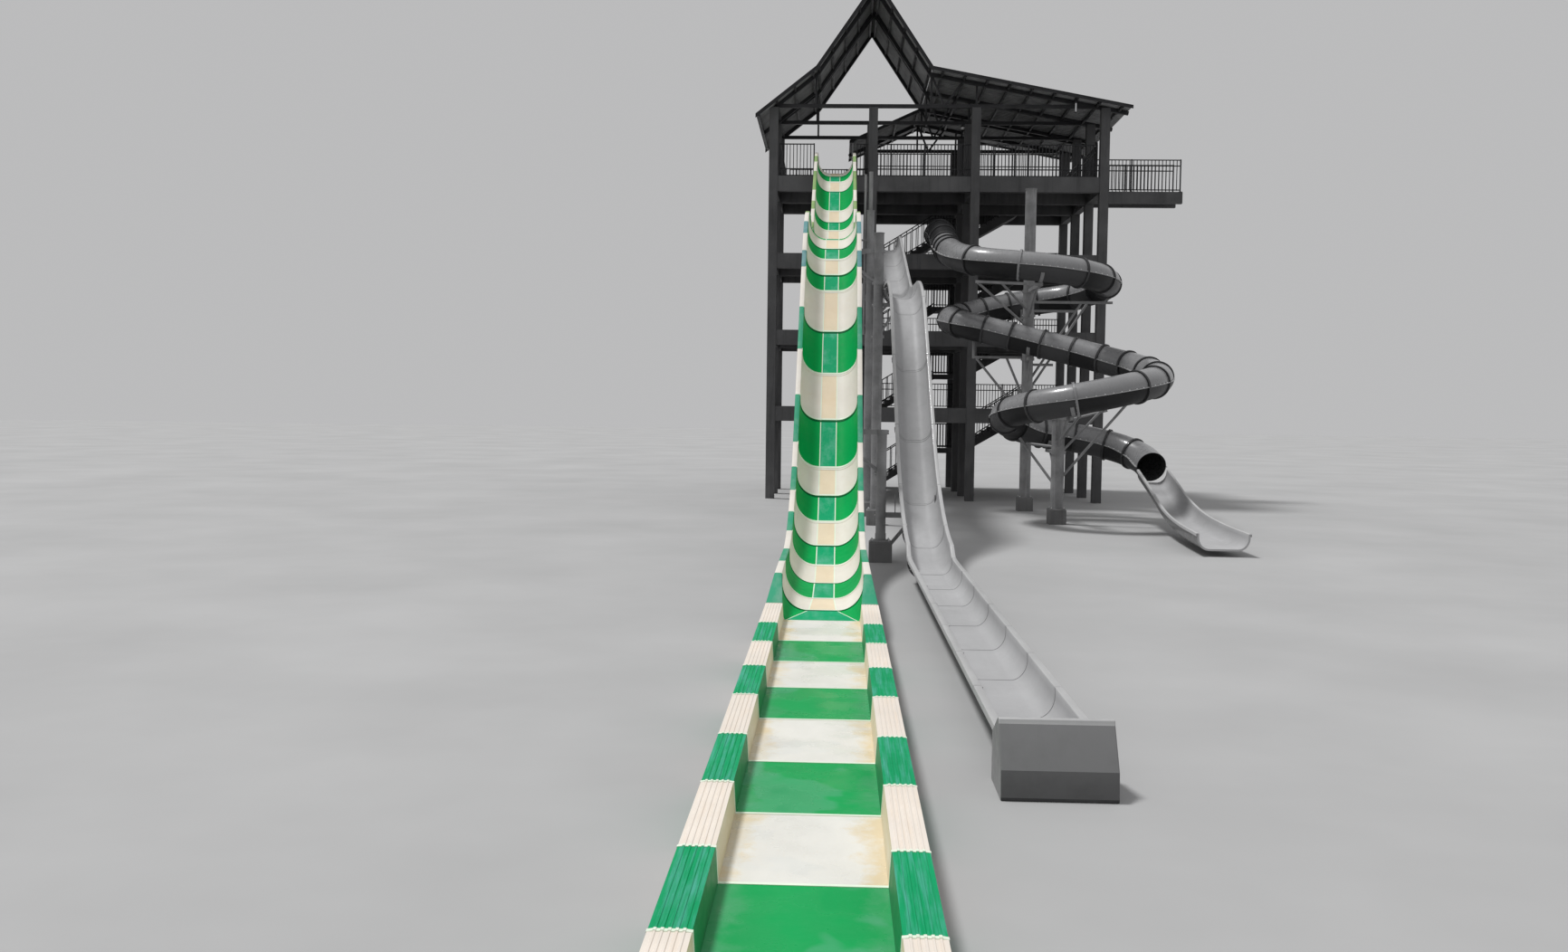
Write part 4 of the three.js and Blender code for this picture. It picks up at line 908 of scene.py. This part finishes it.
LEFT_EAVE = (-3.45, 15.2)
LEFT_KINK = (-1.09, 17.05)
APEX = (1.23, 20.4)
RIGHT_KINK = (3.48, 17.05)
RIGHT_EAVE = (11.24, 15.57)
REAR_EAVE = (0.3, 15.6)
FRONT_Y, GABLE_Y, BACK_Y = -0.9, 6.2, 10.6
ROOFS = {
    "left_wing": ([LEFT_EAVE, LEFT_KINK], (FRONT_Y, GABLE_Y)),
    "gable": ([LEFT_KINK, APEX, RIGHT_KINK], (FRONT_Y, GABLE_Y)),
    "right_wing": ([RIGHT_EAVE, RIGHT_KINK], (FRONT_Y, BACK_Y)),
    "rear_slope": ([REAR_EAVE, RIGHT_KINK], (GABLE_Y, BACK_Y)),
}
RIB_PITCH = 0.24
RIB_HEIGHT = 0.034
RIB = [(-0.055, 0), (-0.025, RIB_HEIGHT), (0.025, RIB_HEIGHT), (0.055, 0)]
SHEET = 0.008
PURLIN = (0.08, 0.12)
PURLIN_PITCH = 1.0
RAFTER = (0.1, 0.14)
RAFTER_PITCH = 3.55
PURLIN_GAP = 0.012
FRAME_END = 0.05
RIDGE_RADIUS = 0.035
TRIM = 0.13
TRIM_FOLD = 0.024
SHEET_PAINT, FRAME_PAINT, LINING_PAINT = range(3)


def rib_profile(y0, y1):
    """Places along the ridge and the sheet's height there, rib by rib."""
    count = round((y1 - y0) / RIB_PITCH)
    pitch = (y1 - y0) / count
    ribs = [(y0 + (i + 0.5) * pitch + offset, height) for i in range(count) for offset, height in RIB]
    return [(y0, 0.0), *ribs, (y1, 0.0)]


def ribbed_sheet(shape, eave, ridge, ys):
    """A sheet between two level edges (x, z), with ribs down the slope."""
    along = np.array([ridge[0] - eave[0], 0, ridge[1] - eave[1]])
    normal = np.array([-along[2], 0, along[0]]) / np.linalg.norm(along)
    if normal[2] < 0:
        normal = -normal
    rings = []
    for y, height in rib_profile(*ys):
        corners = ((eave, 0), (ridge, 0), (ridge, -SHEET), (eave, -SHEET))
        rings.append([(x, y, z) + normal * (height + lift - RIB_HEIGHT) for (x, z), lift in corners])
    shape.sweep(rings, [SHEET_PAINT, SHEET_PAINT, LINING_PAINT, SHEET_PAINT])


def purlins(shape, eave, ridge, ys):
    """Bars under a sheet, level and along the ridge, and rafters up the slope beneath them."""
    length = math.dist(eave, ridge)
    steep = length / abs(ridge[0] - eave[0])
    under = (RIB_HEIGHT + PURLIN_GAP) * steep

    def on_slope(share):
        return [a + (b - a) * share for a, b in zip(eave, ridge)]

    for share in np.linspace(FRAME_END, 1 - FRAME_END, max(2, round(length / PURLIN_PITCH) + 1)):
        x, z = on_slope(share)
        z -= under + PURLIN[1] / 2
        shape.bar((x, ys[0] + FRAME_END, z), (x, ys[1] - FRAME_END, z), *PURLIN, FRAME_PAINT)
    bays = round((ys[1] - ys[0]) / RAFTER_PITCH)
    drop = under + RAFTER[1] * steep / 2
    for y in np.linspace(*ys, bays + 1)[1:-1]:
        (x0, z0), (x1, z1) = on_slope(FRAME_END), on_slope(1 - FRAME_END)
        shape.bar((x0, y, z0 - drop), (x1, y, z1 - drop), *RAFTER, FRAME_PAINT)


def verge(shape, eave, ridge, y, inward):
    """The folded trim along a sheet's sloping edge."""
    slope = math.atan2(ridge[1] - eave[1], ridge[0] - eave[0])
    drop = TRIM / abs(math.cos(slope))
    (x0, z0), (x1, z1) = eave, ridge
    outline = [(x0, z0), (x1, z1), (x1, z1 - drop), (x0, z0 - drop)]
    rings = [[(x, y + inward * reach, z) for x, z in outline] for reach in (0.0, TRIM_FOLD)]
    shape.sweep(rings, FRAME_PAINT)


for part, (edges, ys) in ROOFS.items():
    shape = Shape()
    for eave, ridge in zip(edges, edges[1:]):
        ribbed_sheet(shape, eave, ridge, ys)
        purlins(shape, eave, ridge, ys)
        verge(shape, eave, ridge, ys[0], 1)
        verge(shape, eave, ridge, ys[1], -1)
    for x, z in edges[1:-1]:
        shape.rod([(x, y, z - RIDGE_RADIUS) for y in ys], RIDGE_RADIUS, 10, FRAME_PAINT)
    look = ["roof", "dark_steel", "roof_under"]
    piece(f"roof_{part}_sheets", shape, look, "roof_sheet", [f"roof_{part}"])


# Guard rails with upright bars

BAR_PITCH = 0.135
BAR_WIDTH = 0.03
BAR_FOOT = 0.05
POST_PITCH = 1.3
GUARD_HEIGHT = 1.35
GUARD_HALF = 0.03
RAIL_SECTION = (0.045, 0.04)
POST_HALF = 0.025
FOOT_HALF = 0.06
FOOT_THICKNESS = 0.012


def guard_leg(shape, start, end, foot, height, rails, pitch=BAR_PITCH, post_pitch=POST_PITCH):
    """A straight guard: rails at the given heights, bars between them and stouter posts."""
    start, end = np.array([*start, foot]), np.array([*end, foot])
    length = np.linalg.norm(end - start)
    for z in rails:
        shape.bar(start + (0, 0, z), end + (0, 0, z), *RAIL_SECTION)
    for x, y, _ in np.linspace(start, end, max(1, round(length / post_pitch)) + 1):
        shape.post(x, y, POST_HALF, foot, foot + height)
        shape.post(x, y, FOOT_HALF, foot, foot + FOOT_THICKNESS)
    for x, y, _ in np.linspace(start, end, max(2, round(length / pitch)) + 1)[1:-1]:
        shape.post(x, y, BAR_WIDTH / 2, foot + BAR_FOOT, foot + rails[-1])


SCREEN_HEIGHT = real_box("screen_deck_rear")[1].z - TOP_DECK
GUARD = {"height": GUARD_HEIGHT, "rails": (0.08, 0.34, GUARD_HEIGHT - 0.03)}
BRIDGE_GUARD = {
    "height": GUARD_HEIGHT,
    "rails": (0.08, GUARD_HEIGHT - 0.27, GUARD_HEIGHT - 0.03),
    "pitch": 0.15,
    "post_pitch": 1.9,
}
SCREEN = {
    "height": SCREEN_HEIGHT,
    "rails": (0.08, 2.04, SCREEN_HEIGHT - 0.03),
    "pitch": 0.17,
    "post_pitch": 2.4,
}
# Corners of each guard: 0 for its lowest and 1 for its highest middle line, in x and in y
GUARDS = {
    "guard_deck_front": ([(0, 0), (1, 0)], GUARD),
    "guard_deck_left": ([(1, 0), (0, 0), (0, 1)], GUARD),
    "guard_deck_step": ([(0, 0), (1, 0), (1, 1)], GUARD),
    "guard_bridge_front": ([(0, 0), (0, 1), (1, 1)], BRIDGE_GUARD),
    "guard_bridge_rear": ([(0, 1), (0, 0), (1, 0)], BRIDGE_GUARD),
    "screen_deck_rear": ([(0, 0), (1, 0)], SCREEN),
}
for node, (corners, how) in GUARDS.items():
    low, high = real_box(node)
    xs, ys = (low.x + GUARD_HALF, high.x - GUARD_HALF), (low.y + GUARD_HALF, high.y - GUARD_HALF)
    line = [(xs[i], ys[j]) for i, j in corners]
    shape = Shape()
    for start, end in zip(line, line[1:]):
        guard_leg(shape, start, end, TOP_DECK, **how)
    piece(f"{node}_bars", shape, ["dark_steel"], "dark_steel", [node])


# Rear guards of the lower decks, and rails along both sides of the stairs

REAR_GUARD_Y = ROW_Y[4] - 0.24
REAR_GUARD_ENDS = [(COLUMN_X["B"] + 0.2, REAR_GUARD_Y), (COLUMN_X["D"] - 0.2, REAR_GUARD_Y)]
LOW_GUARD = 1.15
LOW_RAIL = 0.16
STAIR_SIDES = (7.34, 8.71)
LANDING_X = (4.25, 5.55)
TREAD = 0.27
HALF_RISERS = {1: 11, 2: 9, 3: 9, 4: 9}
RAIL = 0.045
TREAD_BAR = 0.035


def sloped_rail(shape, start, end, y, steps):
    """A stair's rail from the foot to the head of a flight, with a bar on each tread."""
    (x0, z0), (x1, z1) = start, end
    for height in (LOW_RAIL, LOW_GUARD):
        shape.bar((x0, y, z0 + height), (x1, y, z1 + height), RAIL)
    for i in range(steps + 1):
        share = i / steps
        z = z0 + (z1 - z0) * share
        half = RAIL / 2 if i in (0, steps) else TREAD_BAR / 2
        shape.post(x0 + (x1 - x0) * share, y, half, z, z + LOW_GUARD)


for deck, steps in HALF_RISERS.items():
    foot = DECK_TOP[deck - 1] if deck > 1 else 0.0
    landing = foot + (DECK_TOP[deck] - foot) / 2
    low_start = (LANDING_X[0] - (steps - 0.5) * TREAD, foot + 0.1)
    high_end = (LANDING_X[1] + (steps - 0.5) * TREAD, DECK_TOP[deck] - 0.08)
    shape = Shape()
    for y in STAIR_SIDES:
        sloped_rail(shape, low_start, (LANDING_X[0], landing), y, steps)
        sloped_rail(shape, (LANDING_X[1], landing), high_end, y, steps)
        ends = [(x, y) for x in LANDING_X]
        guard_leg(shape, *ends, landing, LOW_GUARD, (0.1, LOW_GUARD - 0.02))
    piece(f"stair_rails_to_deck_{deck}", shape, ["dark_steel"], "dark_steel")
    if deck < 4:
        shape = Shape()
        rails = (0.08, LOW_GUARD - 0.3, LOW_GUARD - 0.03)
        guard_leg(shape, *REAR_GUARD_ENDS, DECK_TOP[deck], LOW_GUARD, rails)
        piece(f"rear_guard_deck_{deck}", shape, ["dark_steel"], "dark_steel")


# A round lamp under the second truss's tie, and a tube lamp under the roof's front edge

TIE_BOTTOM = 15.62
# Each part's lowest and highest place above the lamp's foot, its radius, sides and paint
LAMPS = {
    (5.04, ROW_Y[2], TIE_BOTTOM): [
        (-0.06, 0.0, 0.02, 12, 0),
        (-0.1, -0.06, 0.11, 20, 0),
        (-0.19, -0.1, 0.09, 20, 1),
    ],
    (9.07, -0.62, 15.31): [
        (0.0, 0.05, 0.035, 12, 0),
        (0.05, 0.38, 0.028, 12, 1),
        (0.38, 0.44, 0.035, 12, 0),
        (0.44, 0.62, 0.01, 12, 0),
    ],
}
shape = Shape()
for (x, y, z), parts in LAMPS.items():
    for low, high, *how in parts:
        shape.pipe(x, y, z + low, z + high, *how)
piece("roof_lamps", shape, ["dark_steel", "lamp"], "dark_steel")


# Supports: pipes on pedestals, with arms, struts and straps round what they carry

PIPE_SIDES = 32
PEDESTAL = {"half": 0.275, "height": 0.5, "edge": 0.03}
BASE_PLATE = {"half": 0.24, "thickness": 0.025, "bolts": 0.2}
BRACKET = 0.12
CONTACT_GAP = 0.0008
STRUT_DROP = 1.0
STRUT_RADIUS = 0.045
STRUT_BAR = 0.09
TUBE_STRUT_SHARE = 0.7
COLLAR = 0.014
COLLAR_HALF = 0.06
FOOT_COLLAR = (0.16, 0.012)
CAP = (0.025, 0.015)
POST_GAP = 0.012
EAR_HALF = (0.03, 0.02, 0.05)
STRAP = [(0.004, -0.06), (0.026, -0.06), (0.026, 0.06), (0.004, 0.06)]
SUPPORT_PAINTS = ["pipe", "pedestal", "bolt"]
PEDESTAL_PAINT, HEAD_PAINT = 1, 2
BASE_BOLT = {"radius": 0.02, "height": 0.03, "paint": HEAD_PAINT}
CLAMP_BOLT = {"radius": 0.014, "height": 0.014, "paint": HEAD_PAINT}
# Name, x, y, radius and top of each pipe under the open slides
OPEN_SLIDE_PIPES = [
    ("support_open_slides_rear", 0.96, -7.9, 0.135, 10.4),
    ("support_open_slides_front", 1.16, -11.3, 0.155, 9.2),
    ("support_steep_part", 1.0, -21.2, 0.12, 3.1),
]
# Stations, middle, sizes, reach and side of what their arms carry
CARRIED = [
    (main_stations, MAIN_X, MAIN_TROUGH, 0.75, -1),
    (grey_stations, GREY_X, GREY_TROUGH, 0.5, 1),
]
SPIGOT = {"radius": 0.065, "top": 11.7}
SIDE_PIPE = {"x": 0.78, "radius": 0.04, "foot": 6.2, "top": 11.61}
CLAMPS = (9.4, 9.08, 8.2, 7.4)
# Ends of the arms and of the struts on the two pipes under the tube
REAR_ARMS = [(6.83, -7.5, 8.067), (6.83, -2.3, 7.196), (6.83, -5.75, 5.612)]
REAR_STRUTS = [
    ((4.6, -7.4, 8.08), (6.83, -7.45, 8.0)),
    ((4.7, -7.35, 8.04), (6.75, -4.7, 6.75)),
    ((5.5, -7.38, 8.03), (6.75, -4.7, 7.35)),
    ((6.83, -4.62, 7.62), (9.85, -4.62, 7.62)),
    ((6.83, -4.62, 7.3), (8.5, -4.62, 7.3)),
    ((8.71, -4.62, 7.58), (6.95, -4.62, 4.83)),
    ((8.95, -4.5, 7.58), (7.0, -4.55, 4.55)),
    ((6.83, -4.62, 5.35), (7.75, -4.62, 5.35)),
    ((4.85, -4.72, 5.6), (6.83, -4.62, 5.6)),
    ((4.85, -4.72, 5.55), (4.85, -4.72, 6.2)),
    ((6.06, -4.66, 5.6), (6.72, -4.62, 4.1)),
    ((4.96, -4.7, 5.56), (6.7, -4.62, 3.45)),
]
FRONT_ARMS = [(7.1, -12.4, 3.516), (7.1, -7.8, 2.4)]
FRONT_STRUTS = [
    ((8.33, -10.3, 3.72), (9.95, -10.5, 4.16)),
    ((9.2, -10.4, 3.94), (7.2, -10.05, 1.5)),
    ((8.41, -10.3, 3.72), (7.25, -10.05, 2.4)),
    ((7.1, -10.0, 3.3), (8.6, -10.3, 3.72)),
    ((6.0, -9.0, 2.76), (7.0, -9.9, 1.3)),
    ((6.75, -12.0, 3.52), (7.02, -10.1, 2.75)),
    ((7.45, -12.0, 3.6), (7.2, -10.1, 2.75)),
    ((6.2, -9.2, 2.6), (7.1, -10.0, 2.5)),
]
# Name, place, radius and top of each pipe, its arms and its struts
TUBE_PIPES = [
    ("support_tube_rear", (6.83, -4.62), 0.2, 11.7, REAR_ARMS, REAR_STRUTS),
    ("support_tube_front", (7.1, -10.0), 0.21, 3.42, FRONT_ARMS, FRONT_STRUTS),
]


def pipe_stand(shape, x, y, radius, top):
    """A pipe with a base plate and its bolts, a collar and a cap, on a concrete pedestal."""
    half, height, edge = PEDESTAL.values()
    levels = [(half, 0.0), (half, height - edge), (half - edge, height)]
    rings = [[(x + a * reach, y + b * reach, z) for a, b in SQUARE] for reach, z in levels]
    shape.sweep(rings, PEDESTAL_PAINT)
    over, bolts = height + BASE_PLATE["thickness"], BASE_PLATE["bolts"]
    shape.post(x, y, BASE_PLATE["half"], height, over)
    for a, b in SQUARE:
        shape.bolt((x + a * bolts, y + b * bolts, over), (0, 0, 1), **BASE_BOLT)
    shape.pipe(x, y, over, top, radius, PIPE_SIDES)
    shape.pipe(x, y, over, over + FOOT_COLLAR[0], radius + FOOT_COLLAR[1], PIPE_SIDES)
    shape.pipe(x, y, top - CAP[0], top, radius + CAP[1], PIPE_SIDES)


def clamp(shape, x, y, z, radius):
    """A collar in two halves round a pipe, with its bolts."""
    reach = radius + COLLAR
    shape.pipe(x, y, z - COLLAR_HALF, z + COLLAR_HALF, reach, PIPE_SIDES)
    for side in (-1, 1):
        ear = np.array((x + side * reach, y, z))
        shape.block(ear - EAR_HALF, ear + EAR_HALF)
        shape.bolt((x + side * (reach + 0.012), y - EAR_HALF[1], z), (0, -1, 0), **CLAMP_BOLT)


def strap(shape, centre, along):
    """A flat strap round the underside of the tube."""
    _, side, up = frames([centre - along, centre + along])
    rings = []
    for a in np.linspace(1.15 * math.pi, 1.85 * math.pi, 17):
        out = math.cos(a) * side[0] + math.sin(a) * up[0]
        rings.append([centre + out * (TUBE_RADIUS + lift) + along * wide for lift, wide in STRAP])
    shape.sweep(rings)


for name, x, y, radius, top in OPEN_SLIDE_PIPES:
    shape = Shape()
    pipe_stand(shape, x, y, radius, top)
    for stations, middle, size, reach, side in CARRIED:
        z, slope = station_at(stations, y)
        arm_top = z - size["shell"] / math.cos(slope) - BRACKET / 2 * math.tan(slope) - CONTACT_GAP
        arm_z = arm_top - BRACKET / 2
        shape.bar((x, y, arm_z), (middle + side * reach, y, arm_z), BRACKET)
        shape.rod([(x, y, arm_z - STRUT_DROP), (middle, y, arm_z)], STRUT_RADIUS)
        clamp(shape, x, y, arm_z, radius)
        clamp(shape, x, y, arm_z - STRUT_DROP, radius)
        for flank in (-1, 1):
            post = middle + flank * (size["width"] + size["shell"] + POST_GAP)
            shape.block((post - 0.01, y - 0.05, arm_z - 0.05), (post + 0.01, y + 0.05, arm_z + 0.5))
    if name.endswith("rear"):
        shape.pipe(x, y, top - 0.2, SPIGOT["top"], SPIGOT["radius"], PIPE_SIDES)
        beside = SIDE_PIPE["x"]
        shape.pipe(beside, y, SIDE_PIPE["foot"], SIDE_PIPE["top"], SIDE_PIPE["radius"], 16)
        for z in CLAMPS:
            clamp(shape, x, y, z, radius)
            shape.rod([(beside - 0.2, y, z), (x, y, z)], 0.035)
    piece(f"{name}_steel", shape, SUPPORT_PAINTS, "support_steel", [name])

for name, (x, y), radius, top, arms, struts in TUBE_PIPES:
    shape = Shape()
    pipe_stand(shape, x, y, radius, top)
    for arm_x, arm_y, arm_top in arms:
        z = arm_top - BRACKET / 2
        shape.bar((x, y, z), (arm_x, arm_y, z), BRACKET)
        strut_y = y + (arm_y - y) * TUBE_STRUT_SHARE
        shape.rod([(x, y, z - STRUT_DROP), (arm_x, strut_y, z)], STRUT_RADIUS)
        clamp(shape, x, y, z, radius)
        over_arm = (arm_x, arm_y, arm_top + TUBE_RADIUS)
        nearest = np.argmin(np.linalg.norm(tube_line - over_arm, axis=1))
        strap(shape, tube_line[nearest], tube_tangents[nearest])
    for start, end in struts:
        if abs(start[2] - end[2]) < 0.1:
            shape.bar(start, end, STRUT_BAR)
        else:
            shape.rod([start, end], STRUT_RADIUS)
    piece(f"{name}_steel", shape, SUPPORT_PAINTS, "support_steel", [name])


# Stop block at the foot of the grey slide

low, high = real_box("grey_slide_stop_block")
BLOCK_LIP = 0.05
FOOT_SHADE_LINE = 0.035
BLOCK_BACK = 0.5
profile = [
    (high.y, 0.0),
    (high.y, BLOCK_BACK),
    (low.y + 0.35, high.z),
    (low.y + 0.29, high.z),
    (low.y + 0.275, high.z - BLOCK_LIP),
    (low.y + 0.03, 0.29),
    (low.y, FOOT_SHADE_LINE),
    (low.y, 0.0),
]
shape = Shape()
# Upper face in the block's grey, top lip in the paler rim grey as painted highlight, lower face a darker
# copy as painted shade, and a near-black strip at its foot as painted shade where it meets the ground
shape.sweep([[(x, y, z) for y, z in profile] for x in (low.x, high.x)], [0, 0, 1, 1, 0, 2, 3, 2])
block_paints = ["block", "grey_rim", "block_painted_shade", "flange"]
piece("stop_block_moulding", shape, block_paints, "light_grey_gelcoat", ["grey_slide_stop_block"], 0.012)


# CAD nodes that stay: concrete and the roof trusses


def keep(node, paint):
    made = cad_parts[node]
    made.data.materials.clear()
    made.data.materials.append(paints[paint])


for line, rows in COLUMN_LINES.items():
    for row in range(1, rows + 1):
        keep(f"column_{line}{row}", "concrete")
for deck in DECKS:
    keep(f"deck_{deck}", "concrete")
    keep(f"stair_to_deck_{deck}", "concrete")
    keep(f"roof_truss_{deck}", "dark_steel")
keep("bridge_deck", "concrete")


# Floor and light

FLOOR_HALF = 90.0
SKY = (0.5, 0.5, 0.505, 1.0)
TO_SUN = (-0.33, 0.14, 0.93)
SUN_ENERGY = 2.2
SUN_ANGLE = math.radians(10)

floor_mesh = bpy.data.meshes.new("floor")
floor_corners = [(a * FLOOR_HALF, b * FLOOR_HALF, 0) for a, b in SQUARE]
floor_mesh.from_pydata(floor_corners, [], [(0, 1, 2, 3)])
ground = Paint("floor", roughness=0.8)
floor_mesh.materials.append(
    ground.finish(ground.shades(ground.noise(0.4), grey(1.0), (0.3, 0.38), (0.7, 0.44)))
)
in_scene("floor", floor_mesh)

world = bpy.data.worlds.new("studio")
bpy.context.scene.world = world
world.use_nodes = True
world.node_tree.nodes["Background"].inputs["Color"].default_value = SKY
world.node_tree.nodes["Background"].inputs["Strength"].default_value = 1.0

sun = in_scene("sun", bpy.data.lights.new("sun", "SUN"))
sun.data.energy = SUN_ENERGY
sun.data.angle = SUN_ANGLE
sun.rotation_mode = "QUATERNION"
sun.rotation_quaternion = Vector(TO_SUN).to_track_quat("Z", "Y")
